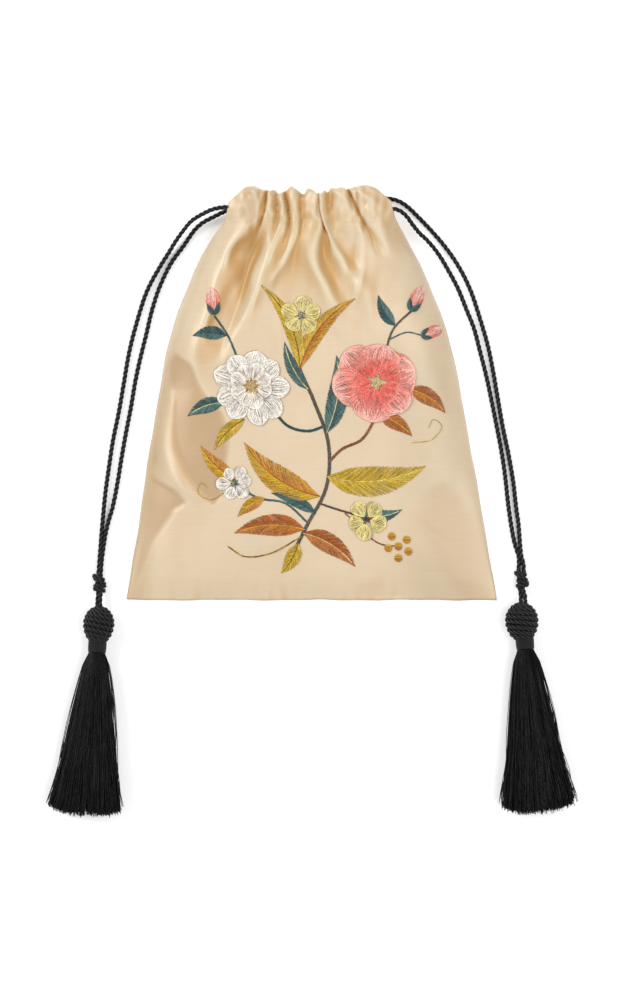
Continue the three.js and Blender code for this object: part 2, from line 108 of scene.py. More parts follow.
# Free strands from inside the casing to the knot, as (x, y, z).
STRANDS = {
    "left_cord_front": [
        (-39.3, 110.8, FRONT_CORD_Z), (-50.1, 110.9, FRONT_CORD_Z), (-58.4, 109.8, 18.2),
        (-65.8, 106.6, 15), (-72.2, 102.6, 11.2), (-76.7, 97.4, 7.6), (-81.3, 91.1, 4.4),
        (-85.9, 83.6, 2.4), (-89.9, 77.3, 1.6), (-98.6, 61.2, TABLE_Z), (-105.1, 41.2, TABLE_Z),
        (-109.3, 24.6, TABLE_Z), (-112.5, 6.2, TABLE_Z), (-115.7, -12.2, TABLE_Z),
        (-119.1, -28.8, TABLE_Z), (-121.4, -44, TABLE_Z), (-123.6, -60, TABLE_Z),
        (-125.2, -76.2, TABLE_Z), (-125.9, -84, TABLE_Z), (-126.5, -92.2, 2.0), (-127.1, -100.2, 2.9),
        (-127.7, -108, 2.6),
    ],
    "left_cord_back": [
        (-39.3, 109.2, BACK_CORD_Z), (-50.1, 109.2, BACK_CORD_Z), (-59.5, 105.1, 3.9),
        (-65.3, 102, 2.6), (-69.9, 97.9, 1.8), (-76.7, 88.2, TABLE_Z), (-84.2, 77.8, TABLE_Z),
        (-91.1, 63.5, TABLE_Z), (-95.6, 49.8, TABLE_Z), (-99.3, 34.3, TABLE_Z),
        (-103, 19.4, TABLE_Z), (-105.9, 5.6, TABLE_Z), (-108.2, -8.2, TABLE_Z),
        (-111.1, -23.1, TABLE_Z), (-113.6, -37.1, TABLE_Z), (-116.6, -55.4, TABLE_Z),
        (-119.3, -68.6, TABLE_Z), (-121.5, -76.2, TABLE_Z), (-123.4, -84, 1.8), (-124.7, -92.2, 2.2),
        (-125.8, -100.2, TABLE_Z), (-126.4, -108, TABLE_Z),
    ],
    "right_cord_front": [
        (39.3, 109.4, FRONT_CORD_Z), (47.1, 110, FRONT_CORD_Z), (52.6, 108.8, 19),
        (57, 105.2, 17.2), (60.4, 100.6, 14.6), (64.8, 95.4, 11), (69.2, 91.4, 8),
        (75.9, 83.5, 4), (82.2, 73.2, 1.9), (88, 62.3, TABLE_Z), (93.1, 49.6, TABLE_Z),
        (97.4, 38.9, TABLE_Z), (100.9, 25.7, TABLE_Z), (104.7, 10.8, TABLE_Z),
        (107.8, -3.6, TABLE_Z), (110.9, -19.1, TABLE_Z), (114.1, -35.9, TABLE_Z),
        (116.2, -50.3, TABLE_Z), (118, -66.9, TABLE_Z), (119.6, -78.2, TABLE_Z),
        (121.4, -88.2, TABLE_Z), (123.1, -94.2, TABLE_Z), (124.3, -97.8, TABLE_Z),
        (124.5, -102.2, TABLE_Z), (124.3, -105.7, TABLE_Z),
    ],
    "right_cord_back": [
        (39.3, 116.3, BACK_CORD_Z), (43.7, 116.6, BACK_CORD_Z), (49.2, 115.9, 4.8),
        (54.1, 114, 3.7), (58.4, 110.9, 2.5), (62.9, 106.6, 1.7), (71.9, 97.3, TABLE_Z),
        (81.1, 86.4, TABLE_Z), (89.1, 74.4, TABLE_Z), (95.5, 61.2, TABLE_Z), (101.4, 43.5, TABLE_Z),
        (105.7, 28.6, TABLE_Z), (108.9, 13.1, TABLE_Z), (111.8, -3.6, TABLE_Z),
        (114.7, -20.2, TABLE_Z), (118, -35.9, TABLE_Z), (120.9, -52.6, TABLE_Z),
        (122.9, -69.8, TABLE_Z), (124.1, -78.2, TABLE_Z), (124.9, -88.2, TABLE_Z),
        (125.4, -94.2, 1.8), (125.8, -97.8, 2.4), (127, -102.2, 1.7), (127.3, -105.7, TABLE_Z),
    ],
}
# Runs inside the casings: the side where each starts, and how far up it is at its start and at its turn.
CASING_RUNS = {
    "left": {"side": -1, "front": (235.0, 239.4), "back": (233.4, 232.5)},
    "right": {"side": 1, "front": (233.6, 231.2), "back": (240.5, 236.8)},
}
RUN_NEAR_X = 39.0
TURN_X = 45.8
TURN_RADIUS = 5.4

# Sections across the bag: up from the bottom seam, half widths, and the front's height over the
# table in the middle.
SECTIONS = {
    "up": [0, 14, 48, 84, 123, 162, 194, 212, STITCH_UP, 229, 236, BAG_HEIGHT],
    "left": [110.7, 108.6, 103.3, 97.9, 91.6, 83.5, 71.8, 62.4, 53.0, 51.3, 49.8, 48.2],
    "right": [110.9, 108.9, 103.0, 96.6, 89.8, 80.8, 68.6, 59.2, 51.4, 49.8, 48.0, 46.0],
    "loft": [SEAM_Z, 7, 13.5, 17.5, 20, 21.3, 22, CASING_Z, CASING_Z, CASING_Z, CASING_Z, CASING_Z],
}

# Side seams: how high the edges of the front and the back are over the table. They are sewn
# together up to the casings, which open like a mouth.
SEAMS = {
    "up": [0, 180, 194, 206, 216, 222, STITCH_UP, 230, 235, BAG_HEIGHT],
    "front": [SEAM_Z, SEAM_Z, 1.7, 4.2, 7.6, 10.8, 14.6, 18.4, 20.4, 20.6],
    "back": [BACK_Z, BACK_Z, 1.0, 3.5, 6.9, 9.6, 7.6, 3.2, 1.0, 0.6],
}


# Geometry Nodes

def node_tree(name, inputs):
    """An empty geometry tree with named inputs, each (label, socket type, default)."""
    tree = bpy.data.node_groups.new(name, "GeometryNodeTree")
    tree.interface.new_socket("Geometry", in_out="INPUT", socket_type="NodeSocketGeometry")
    for label, kind, default in inputs:
        socket = tree.interface.new_socket(label, in_out="INPUT", socket_type=kind)
        if default is not None:
            socket.default_value = default
    tree.interface.new_socket("Geometry", in_out="OUTPUT", socket_type="NodeSocketGeometry")
    source = tree.nodes.new("NodeGroupInput")
    sink = tree.nodes.new("NodeGroupOutput")
    return tree, source.outputs, sink.inputs


def add_node(tree, kind, links=(), **settings):
    """A node with its settings, whose inputs are values or other nodes' outputs."""
    node = tree.nodes.new(kind)
    for key, value in settings.items():
        setattr(node, key, value)
    for socket, value in dict(links).items():
        target = node.inputs[socket]
        if isinstance(value, bpy.types.NodeSocket):
            tree.links.new(value, target)
        else:
            target.default_value = value
    return node


def maths(tree, operation, first, second=0.0, third=0.0):
    node = add_node(tree, "ShaderNodeMath", {0: first, 1: second, 2: third}, operation=operation)
    return node.outputs[0]


def stored(tree, geometry, name, value):
    """Geometry with a value kept on its points under a name that materials read."""
    node = add_node(tree, "GeometryNodeStoreNamedAttribute", {
        "Geometry": geometry, "Name": name, "Value": value}, data_type="FLOAT", domain="POINT")
    return node.outputs[0]


def finish_tree(tree, geometry, finish, result):
    """Ends a tree with smooth, real geometry in its material."""
    smooth = add_node(tree, "GeometryNodeSetShadeSmooth", {"Geometry": geometry})
    whole = add_node(tree, "GeometryNodeRealizeInstances", {0: smooth.outputs[0]})
    dressed = add_node(tree, "GeometryNodeSetMaterial", {
        "Geometry": whole.outputs[0], "Material": finish})
    tree.links.new(dressed.outputs[0], result["Geometry"])


def twisted_cord_tree():
    """Plies laid round a path: three small circles swept along it while they turn."""
    tree, given, result = node_tree("twisted_cord", [
        ("Diameter", "NodeSocketFloat", CORD_DIAMETER * MM),
        ("Lay", "NodeSocketFloat", CORD_LAY * MM),
        ("Steps per Turn", "NodeSocketFloat", 14.0),
        ("Ply Sides", "NodeSocketInt", 8),
        ("Finish", "NodeSocketMaterial", None),
    ])
    ply_radius = 0.27  # as a share of the diameter
    ply_offset = 0.285
    path = add_node(tree, "GeometryNodeMeshToCurve", {"Mesh": given["Geometry"]})
    step = maths(tree, "DIVIDE", given["Lay"], given["Steps per Turn"])
    even = add_node(tree, "GeometryNodeResampleCurve", {
        "Curve": path.outputs[0], "Length": step}, mode="LENGTH")
    along = add_node(tree, "GeometryNodeSplineParameter").outputs["Length"]
    turns = maths(tree, "DIVIDE", along, given["Lay"])
    tilt = maths(tree, "MULTIPLY", turns, 2 * math.pi)
    laid = add_node(tree, "GeometryNodeSetCurveTilt", {"Curve": even.outputs[0], "Tilt": tilt})
    middles = add_node(tree, "GeometryNodeMeshCircle", {
        "Vertices": 3, "Radius": maths(tree, "MULTIPLY", given["Diameter"], ply_offset)})
    ply = add_node(tree, "GeometryNodeCurvePrimitiveCircle", {
        "Resolution": given["Ply Sides"],
        "Radius": maths(tree, "MULTIPLY", given["Diameter"], ply_radius)})
    plies = add_node(tree, "GeometryNodeInstanceOnPoints", {
        "Points": middles.outputs[0], "Instance": ply.outputs[0]})
    profile = add_node(tree, "GeometryNodeRealizeInstances", {0: plies.outputs[0]})
    # How far out on its ply each point of the profile is; the cord's material paints shade in the grooves
    # from it.
    place = add_node(tree, "GeometryNodeInputPosition").outputs[0]
    out = add_node(tree, "ShaderNodeVectorMath", {0: place}, operation="LENGTH").outputs["Value"]
    outermost = maths(tree, "MULTIPLY", given["Diameter"], ply_radius + ply_offset)
    crown = maths(tree, "DIVIDE", out, outermost)
    profile = stored(tree, profile.outputs[0], "crown", crown)
    swept = add_node(tree, "GeometryNodeCurveToMesh", {
        "Curve": stored(tree, laid.outputs[0], "along", along),
        "Profile Curve": profile, "Fill Caps": True})
    finish_tree(tree, swept.outputs[0], given["Finish"], result)
    return tree


def thread_tree():
    """A fine round thread along each chain of edges, which the cord's painted groove shade leaves as bright
    as the upper part of a ply.
    """
    thread_crown = 0.8
    tree, given, result = node_tree("thread", [
        ("Thickness", "NodeSocketFloat", 0.4 * MM),
        ("Sides", "NodeSocketInt", 5),
        ("Finish", "NodeSocketMaterial", None),
    ])
    path = add_node(tree, "GeometryNodeMeshToCurve", {"Mesh": given["Geometry"]})
    radius = maths(tree, "MULTIPLY", given["Thickness"], 0.5)
    profile = add_node(tree, "GeometryNodeCurvePrimitiveCircle", {
        "Resolution": given["Sides"], "Radius": radius})
    swept = add_node(tree, "GeometryNodeCurveToMesh", {
        "Curve": path.outputs[0], "Profile Curve": profile.outputs[0], "Fill Caps": True})
    finish_tree(tree, stored(tree, swept.outputs[0], "crown", thread_crown), given["Finish"], result)
    return tree


def grow(piece, tree, values):
    """Runs a geometry tree on a piece and keeps the result as the piece's own plain mesh."""
    modifier = piece.modifiers.new(tree.name, "NODES")
    modifier.node_group = tree
    for item in tree.interface.items_tree:
        if item.item_type == "SOCKET" and item.in_out == "INPUT" and item.name in values:
            modifier[item.identifier] = values[item.name]
    depsgraph = bpy.context.evaluated_depsgraph_get()
    mesh = bpy.data.meshes.new_from_object(piece.evaluated_get(depsgraph))
    piece.modifiers.clear()
    old = piece.data
    piece.data = mesh
    bpy.data.meshes.remove(old)
    return piece


# Meshes

def mesh_piece(name, points, edges=(), faces=(), material=None):
    """A mesh object from points in millimetres."""
    mesh = bpy.data.meshes.new(name)
    mesh.from_pydata([tuple(MM * c for c in point) for point in points], list(edges), list(faces))
    mesh.update()
    piece = bpy.data.objects.new(name, mesh)
    bpy.context.scene.collection.objects.link(piece)
    if material is not None:
        mesh.materials.append(material)
    return piece


def chains_piece(name, chains, colours=None):
    """Chains of points joined by edges, with a colour for each chain's points where given."""
    points = [point for chain in chains for point in chain]
    edges = []
    start = 0
    for chain in chains:
        edges += [(start + i, start + i + 1) for i in range(len(chain) - 1)]
        start += len(chain)
    piece = mesh_piece(name, points, edges=edges)
    if colours is not None:
        layer = piece.data.attributes.new("thread_colour", "FLOAT_COLOR", "POINT")
        flat = [value for chain, colour in zip(chains, colours)
                for _ in chain for value in (*colour, 1.0)]
        layer.data.foreach_set("color", flat)
    return piece


def joined(name, pieces):
    """Several mesh pieces as one."""
    bpy.ops.object.select_all(action="DESELECT")
    for piece in pieces:
        piece.select_set(True)
    bpy.context.view_layer.objects.active = pieces[0]
    bpy.ops.object.join()
    pieces[0].name = name
    pieces[0].data.name = name
    return pieces[0]


def smooth_path(points, spacing=1.0):
    """Points on a curve through the given ones, about as far apart as the spacing."""
    given = np.array(points, float)
    ends = np.vstack([2 * given[0] - given[1], given, 2 * given[-1] - given[-2]])
    path = []
    for i in range(1, len(ends) - 2):
        p0, p1, p2, p3 = ends[i - 1:i + 3]
        spans = [np.linalg.norm(b - a) ** 0.5 for a, b in ((p0, p1), (p1, p2), (p2, p3))]
        d0, d1, d2 = np.maximum(spans, 1e-4)
        start = ((p1 - p0) / d0 - (p2 - p0) / (d0 + d1) + (p2 - p1) / d1) * d1
        stop = ((p2 - p1) / d1 - (p3 - p1) / (d1 + d2) + (p3 - p2) / d2) * d1
        count = max(2, int(np.linalg.norm(p2 - p1) / spacing))
        for t in np.arange(count) / count:
            path.append(p1 * (2 * t**3 - 3 * t**2 + 1) + p2 * (3 * t**2 - 2 * t**3)
                        + start * (t**3 - 2 * t**2 + t) + stop * (t**3 - t**2))
    path.append(given[-1])
    return np.array(path)


# Materials

def principled(name, **sockets):
    """A material with values on its shader's sockets, its tree and its shader."""
    material = bpy.data.materials.new(name)
    material.use_nodes = True
    shader = material.node_tree.nodes["Principled BSDF"]
    for label, value in sockets.items():
        shader.inputs[label.replace("_", " ")].default_value = value
    return material, material.node_tree, shader


def uneven_fibre_group():
    """Colour and gloss that vary as dyed fibres do, and a normal that follows the same fine relief."""
    tree = bpy.data.node_groups.new("uneven_fibre", "ShaderNodeTree")
    for label, kind in (("Colour", "NodeSocketColor"), ("Place", "NodeSocketVector"),
                        ("Scale", "NodeSocketFloat"), ("Amount", "NodeSocketFloat"),
                        ("Roughness", "NodeSocketFloat"), ("Relief", "NodeSocketFloat")):
        tree.interface.new_socket(label, in_out="INPUT", socket_type=kind)
    for label, kind in (("Colour", "NodeSocketColor"), ("Roughness", "NodeSocketFloat"),
                        ("Normal", "NodeSocketVector")):
        tree.interface.new_socket(label, in_out="OUTPUT", socket_type=kind)
    given = tree.nodes.new("NodeGroupInput").outputs
    result = tree.nodes.new("NodeGroupOutput").inputs
    noise = add_node(tree, "ShaderNodeTexNoise", {
        "Vector": given["Place"], "Scale": given["Scale"], "Detail": 3.0})
    spread = maths(tree, "MULTIPLY", maths(tree, "SUBTRACT", noise.outputs["Fac"], 0.5), given["Amount"])
    shade = maths(tree, "MULTIPLY_ADD", spread, 2.0, 1.0)
    colour = add_node(tree, "ShaderNodeVectorMath", {0: given["Colour"], "Scale": shade}, operation="SCALE")
    bump = add_node(tree, "ShaderNodeBump", {
        "Height": noise.outputs["Fac"], "Strength": given["Relief"], "Distance": 0.2 * MM})
    tree.links.new(colour.outputs[0], result["Colour"])
    tree.links.new(maths(tree, "SUBTRACT", given["Roughness"], spread), result["Roughness"])
    tree.links.new(bump.outputs["Normal"], result["Normal"])
    return tree


def add_fibre(tree, shader, **values):
    """Puts the uneven fibres in front of a shader, with values for the group's inputs."""
    fibre = tree.nodes.new("ShaderNodeGroup")
    fibre.node_tree = uneven_fibre
    for label, value in values.items():
        if isinstance(value, bpy.types.NodeSocket):
            tree.links.new(value, fibre.inputs[label])
        else:
            fibre.inputs[label].default_value = value
    tree.links.new(fibre.outputs["Colour"], shader.inputs["Base Color"])
    for label in ("Roughness", "Normal"):
        tree.links.new(fibre.outputs[label], shader.inputs[label])


def attribute(tree, name, output="Fac"):
    return add_node(tree, "ShaderNodeAttribute", attribute_name=name).outputs[output]


def on_object(tree):
    return add_node(tree, "ShaderNodeTexCoord").outputs["Object"]


def colour_ramp(tree, value, stops):
    ramp = add_node(tree, "ShaderNodeValToRGB", {"Fac": value})
    elements = ramp.color_ramp.elements
    while len(elements) < len(stops):
        elements.new(0.5)
    for element, (place, colour) in zip(elements, stops):
        element.position = place
        element.color = (*colour, 1)
    return ramp.outputs["Color"]


def black_cord_material():
    """Black rayon plies, with painted shade darkening the grooves between them."""
    material, tree, shader = principled("black_cord", Specular_IOR_Level=0.3)
    crown = attribute(tree, "crown")
    groove = 0.6
    # Painted shade: darkest in the grooves, lighter towards the plies' crowns.
    colour = colour_ramp(tree, crown, [
        (groove, (0.0015, 0.0013, 0.0015)), (1.0, (0.0135, 0.0125, 0.0132))])
    rough = add_node(tree, "ShaderNodeMapRange", {
        "Value": crown, "From Min": groove, "To Min": 0.85, "To Max": 0.36})
    add_fibre(tree, shader, Colour=colour, Place=on_object(tree), Scale=1500.0, Amount=0.35,
              Roughness=rough.outputs[0], Relief=0.25)
    return material


def black_fringe_material():
    material, tree, shader = principled("black_fringe", Specular_IOR_Level=0.145)
    add_fibre(tree, shader, Colour=(0.0026, 0.0024, 0.0028, 1), Place=on_object(tree), Scale=700.0,
              Amount=0.8, Roughness=0.36, Relief=0.4)
    return material


def fading(tree, value, none, full, least=0.0):
    """A mask that rises softly from its least, where a value is none, to 1, where it is full."""
    mask = add_node(tree, "ShaderNodeMapRange", {
        "Value": value, "From Min": none, "From Max": full, "To Min": least},
        interpolation_type="SMOOTHSTEP")
    return mask.outputs[0]


def overlap(tree, mask, *others):
    """Where several masks are all at work."""
    for other in others:
        mask = maths(tree, "MULTIPLY", mask, other)
    return mask


# The silk's colours in linear light: painted light and shade by the way the cloth faces, from facing left to
# facing right, and then the painted shades and highlight over them in their order, each with its strength.
SILK_FACING_PAINTED_LIGHT = [(0.12, (0.55, 0.43, 0.28)), (0.5, (0.59, 0.47, 0.325)), (0.9, (0.49, 0.28, 0.105))]
SILK_PAINTED_LIGHT_AND_SHADE = {
    "gathered": (0.8, (0.50, 0.335, 0.16, 1)),
    "seam": (0.7, (0.47, 0.34, 0.2, 1)),
    "right_painted_shade": (0.9, (0.50, 0.392, 0.264, 1)),
    "hollow": (1.0, (0.435, 0.295, 0.17, 1)),
    "valley": (0.85, (0.48, 0.27, 0.09, 1)),
    "ridge": (0.9, (0.625, 0.525, 0.365, 1)),
}
SLUBS = (5.0, 250.0, 0.0)  # how close the weave's slubs are across and along a panel
GATHERED_OFFSET = 0.12  # how far left of the middle the painted shade of the gathered part lies, as a share of the half width


def silk_material():
    """Silk with painted light and shade: golden painted shade where the folds face right and in the valleys,
    and a painted cream highlight on the ridges.
    """
    material, tree, shader = principled("champagne_silk", Specular_IOR_Level=0.6, Anisotropic=0.5,
                                        Specular_Tint=(1.0, 0.92, 0.78, 1))
    # Painted light and shade: paler where the folds face the key light on the left, golden where they face
    # right.
    facing = maths(tree, "MULTIPLY_ADD", attribute(tree, "slope"), 0.5, 0.5)
    colour = colour_ramp(tree, facing, SILK_FACING_PAINTED_LIGHT)
    cloth = add_node(tree, "ShaderNodeUVMap", uv_map="cloth").outputs[0]
    across, along = add_node(tree, "ShaderNodeSeparateXYZ", {0: cloth}).outputs[:2]
    off_middle = maths(tree, "ABSOLUTE", maths(tree, "ADD", across, GATHERED_OFFSET))
    low = fading(tree, along, 0.54, 0.4)
    # Painted shade over the gathered folds left of the middle, along the lower left seam, and over the lower
    # right side, where it damps the fill light's highlight.
    masks = {
        "gathered": overlap(tree, fading(tree, off_middle, 0.6, 0.3), fading(tree, along, 0.55, 0.65),
                            fading(tree, along, 0.81, 0.74, least=0.25)),
        "seam": overlap(tree, fading(tree, across, -0.84, -0.95), low),
        "right_painted_shade": overlap(tree, fading(tree, across, 0.4, 0.7), fading(tree, across, 0.98, 0.84), low),
    }
    for name, (strength, tone) in SILK_PAINTED_LIGHT_AND_SHADE.items():
        mask = masks[name] if name in masks else attribute(tree, name)
        mix = add_node(tree, "ShaderNodeMix", {
            "Factor": maths(tree, "MULTIPLY", mask, strength), 6: colour, 7: tone}, data_type="RGBA")
        colour = mix.outputs[2]
    slubs = add_node(tree, "ShaderNodeVectorMath", {0: cloth, 1: SLUBS}, operation="MULTIPLY")
    add_fibre(tree, shader, Colour=colour, Place=slubs.outputs[0], Scale=1.0, Amount=0.05, Roughness=0.4,
              Relief=0.06)
    return material


def embroidery_material():
    material, tree, shader = principled("embroidery_thread", Specular_IOR_Level=0.55)
    add_fibre(tree, shader, Colour=attribute(tree, "thread_colour", "Color"), Place=on_object(tree),
              Scale=900.0, Amount=0.6, Roughness=0.34, Relief=0.5)
    return material


def floor_material():
    material, _, _ = principled("pale_table", Roughness=0.8, Base_Color=(0.93, 0.93, 0.93, 1),
                                Emission_Color=(1, 1, 1, 1), Emission_Strength=0.2)
    return material


# Camera

def place_camera():
    camera = bpy.data.cameras.new("camera")
    camera.sensor_width = SENSOR
    camera.lens = SENSOR * CAMERA_Z / VIEW_HEIGHT
    holder = bpy.data.objects.new("camera", camera)
    holder.location = (VIEW_X * MM, VIEW_Y * MM, CAMERA_Z * MM)
    bpy.context.scene.collection.objects.link(holder)
    bpy.context.scene.camera = holder


# Cords

def cord_piece(name, routes, diameter=CORD_DIAMETER):
    """Twisted black cord along one or more routes."""
    return grow(chains_piece(name, routes), cord_tree, {"Diameter": diameter * MM, "Finish": black_cord})


def thread_piece(name, chains, thickness, sides, finish, colours=None):
    """Thread along many chains of points."""
    return grow(chains_piece(name, chains, colours), thread,
                {"Thickness": thickness * MM, "Sides": sides, "Finish": finish})


def casing_route(run):
    """A cord's way along the front casing, round the far end of the mouth and back in the back casing."""
    side = run["side"]
    near_x = side * (RUN_NEAR_X - JOIN_GAP)
    turn_x = -side * (TURN_X - TURN_RADIUS)
    drop = FRONT_CORD_Z - BACK_CORD_Z
    half = BAG_HEIGHT / 2

    def straight(ends, z):
        return [(near_x + (turn_x - near_x) * part, ends[0] + (ends[1] - ends[0]) * part - half, z)
                for part in (0, 0.3, 0.6, 0.9)]

    turn = []
    for degrees in (0, 30, 60, 90):
        angle = math.radians(degrees)
        turn.append((math.sin(angle), TURN_RADIUS * (1 - math.cos(angle))))
    turn += [(out, drop - down) for out, down in reversed(turn)]
    bend = []
    for out, down in turn:
        up = run["front"][1] + (run["back"][1] - run["front"][1]) * down / drop
        bend.append((turn_x - side * TURN_RADIUS * out, up - half, FRONT_CORD_Z - down))
    return straight(run["front"], FRONT_CORD_Z) + bend + straight(run["back"], BACK_CORD_Z)[::-1]


# Tassels

def hung(tassel, points):
    """Points of a tassel, with its ball at the origin and the fringe along -Y, where it lies."""
    angle = math.radians(tassel["lean"])
    x, y, z = np.moveaxis(np.asarray(points, float), -1, 0)
    return np.stack([tassel["x"] + x * math.cos(angle) - y * math.sin(angle),
                     tassel["y"] + x * math.sin(angle) + y * math.cos(angle), BALL_Z + z], axis=-1)


def knot_routes(tassel):
    """Two strands through the knot that cross on their way to the ball, and slanting wraps."""
    x, top = tassel["knot_x"], tassel["knot_top"]
    middle = top - KNOT_LENGTH / 2
    ball_top = tassel["y"] + BALL_HALF
    foot = top - KNOT_LENGTH
    at_foot, halfway, at_ball = tassel["strands"]
    lap, entry, apart, into_ball, spacing = 0.5, 1.3, 1.3, 2.4, 0.4
    foot_z, foot_cross = KNOT_Z + 1.0, 0.8
    halfway_z, halfway_cross = BALL_TOP_Z - 1.6, 0.9
    routes = []
    for side, (end_x, end_z) in zip((-1, 1), tassel["ends"]):
        routes.append(smooth_path([
            (end_x, top + lap, end_z), (end_x, top - entry, end_z),
            (x + side * apart, middle, KNOT_Z), (x + side * at_foot, foot, foot_z + side * foot_cross),
            (tassel["x"] + side * halfway, (foot + ball_top) / 2, halfway_z + side * halfway_cross),
            (tassel["x"] + side * at_ball, ball_top - into_ball, BALL_TOP_Z)], spacing))
    for up, slant, aside in tassel["wraps"]:
        angle = np.linspace(-0.5 * np.pi, 1.5 * np.pi, 41)
        across = KNOT_RING * np.cos(angle)
        routes.append(np.stack([x + aside + across, middle + up + across * math.tan(math.radians(slant)),
                                KNOT_Z + KNOT_RING * np.sin(angle)], axis=-1))
    return routes


def ball_routes(tassel):
    """Cords wound side by side from one pole of the ball to the other."""
    starts, turns, steps, pole = 3, 3.3, 110, 0.05
    radius, _, _, aside = tassel["ball"]
    lift = max(0.0, radius - BALL_Z)
    routes = []
    for start in range(starts):
        route = []
        for i in range(steps + 1):
            t = i / steps
            y, ring = ball_ring(tassel, math.pi * (pole + (1 - 2 * pole) * t), BALL_CORD / 2)
            angle = 2 * math.pi * (start / starts - turns * t)
            route.append((aside + ring * math.cos(angle), y, lift + ring * math.sin(angle)))
        routes.append(hung(tassel, route))
    return routes


def ball_ring(tassel, polar, inset):
    """Height and radius of a ring of the ball at an angle from its top, that much inside its outline."""
    radius, above, below, _ = tassel["ball"]
    half = above if polar < math.pi / 2 else below
    return (half - inset) * math.cos(polar), (radius - inset) * math.sin(polar)


def collar_route(tassel):
    """Thread bound round the neck in close turns."""
    turns, per_turn = 16, 28
    inset, belly, tuck = 0.25, 0.2, 1.6
    top = -BALL_HALF + JOIN_GAP
    bound = COLLAR_LENGTH + 1.3
    route = []
    for i in range(turns * per_turn + 1):
        angle = 2 * math.pi * i / per_turn
        down = i / (turns * per_turn)
        ring = COLLAR_RADIUS - inset + belly * math.sin(math.pi * down)
        route.append((ring * math.cos(angle), top + tuck - bound * down, ring * math.sin(angle)))
    return hung(tassel, route)


def skirt_spread(down):
    """How far the fringe has fanned out, from 0 at the neck to 1 at the hem."""
    return 0.5 * np.sqrt(down) + 0.5 * down**1.5


def flattening(down):
    """Depth of the fringe over its width, from the round neck to the flat hem."""
    return 1 + (SKIRT_FLAT - 1) * down


def skirt_threads(tassel, seed):
    """Threads of the fringe: in clumps that sway together, with strays that bulge or splay."""
    rng = np.random.default_rng(seed)
    threads, clumps, stray_share = 1750, 130, 0.09
    down = np.linspace(0, 1, 13)[None, :]
    clump = rng.integers(0, clumps, threads)

    def per_thread(clump_spread, thread_spread):
        in_clumps = rng.normal(0, clump_spread, clumps)[clump]
        return (in_clumps + rng.normal(0, thread_spread, threads))[:, None]

    angle = (rng.uniform(0, 2 * np.pi, clumps)[clump] + rng.normal(0, 0.09, threads))[:, None]
    radial = np.sqrt(rng.uniform(0.35, 1.0, threads))[:, None]
    sway = per_thread(1.2, 0.8) * down**1.6
    crimp = per_thread(0.2, 0.5) * np.sin(2 * np.pi * (down * rng.uniform(1.2, 3.2, threads)[:, None]
                                                       + rng.random(threads)[:, None])) * down**0.7
    pick = rng.random(threads)[:, None]
    bulge = np.where(pick < stray_share, rng.uniform(0, 2.8, threads)[:, None], 0)
    bulge = bulge * np.sin(np.pi * down**0.8)
    splay = np.where(pick > 1 - stray_share, rng.uniform(-5, 5.5, threads)[:, None], 0) * down**2.5
    half = SKIRT_NECK - 0.35 + (SKIRT_END - SKIRT_NECK - 0.8) * skirt_spread(down)
    x = radial * np.cos(angle) * half
    x = x + sway + crimp + (bulge + splay) * np.sign(x)
    z = radial * np.sin(angle) * half * flattening(down)
    short = np.abs(rng.normal(0, 0.028, threads)) + rng.normal(0, 0.012, clumps)[clump]
    length = SKIRT_LENGTH * (1.018 - short[:, None])
    y = -BALL_HALF - COLLAR_LENGTH - length * down * (1 - 0.045 * (x / SKIRT_END) ** 2)
    z = np.maximum(z, 0.3 - BALL_Z)
    return hung(tassel, np.stack([x, y + 0.6, z], axis=-1))


def ringed(name, place, rings, sides, material):
    """A closed solid from rings round the local Y axis, each (y, half width, half depth)."""
    points = [place([(w * math.cos(a), y, d * math.sin(a))
                     for a in np.linspace(0, 2 * math.pi, sides, endpoint=False)]) for y, w, d in rings]
    faces = []
    for row in range(len(rings) - 1):
        for i in range(sides):
            j = (i + 1) % sides
            here, beyond = row * sides, (row + 1) * sides
            faces.append((here + i, here + j, beyond + j, beyond + i))
    last = (len(rings) - 1) * sides
    faces += [tuple(reversed(range(sides))), tuple(range(last, last + sides))]
    piece = mesh_piece(name, np.concatenate(points), faces=faces, material=material)
    piece.data.polygons.foreach_set("use_smooth", [True] * len(piece.data.polygons))
    return piece


def tassel_pieces(side, tassel, seed):
    """The knot, wound ball, bound collar and fringe of one tassel."""
    def place(points):
        return hung(tassel, points)

    knot = cord_piece(side + "_knot_twist", knot_routes(tassel))
    wound = cord_piece(side + "_ball_winding", ball_routes(tassel), BALL_CORD)
    core_rings = []
    for polar in np.linspace(0.04, 0.96, 15) * math.pi:
        y, ring = ball_ring(tassel, polar, CORE_INSET)
        core_rings.append((y, ring, ring))
    # With no crown on its points, the core takes the cord's darkest painted groove shade.
    ball_core = ringed(side + "_ball_core", place, core_rings, 24, black_cord)
    top = -BALL_HALF + JOIN_GAP
    neck_rings = [(y, NECK_RADIUS, NECK_RADIUS) for y in (top + NECK_TUCK, top - COLLAR_LENGTH)]
    neck = ringed(side + "_neck", place, neck_rings, 24, black_fringe)
    binding = thread_piece(side + "_binding", [collar_route(tassel)], BINDING_THREAD, 6, black_cord)
    threads = list(skirt_threads(tassel, seed))
    fringe = thread_piece(side + "_fringe", threads, FRINGE_THREAD, 3, black_fringe)
    body_rings = []
    for down in np.linspace(0, 0.95, 8):
        half = FRINGE_CORE * (SKIRT_NECK + (SKIRT_END - SKIRT_NECK) * skirt_spread(down))
        body_rings.append((top - COLLAR_LENGTH - SKIRT_LENGTH * down, half, half * flattening(down)))
    body = ringed(side + "_fringe_core", place, body_rings, 32, black_fringe)
    return {
        "knot": knot,
        "tassel_ball": joined(side + "_wound_ball", [wound, ball_core]),
        "tassel_collar": joined(side + "_bound_collar", [binding, neck]),
        "tassel_skirt": joined(side + "_fringe", [fringe, body]),
    }


# Silk

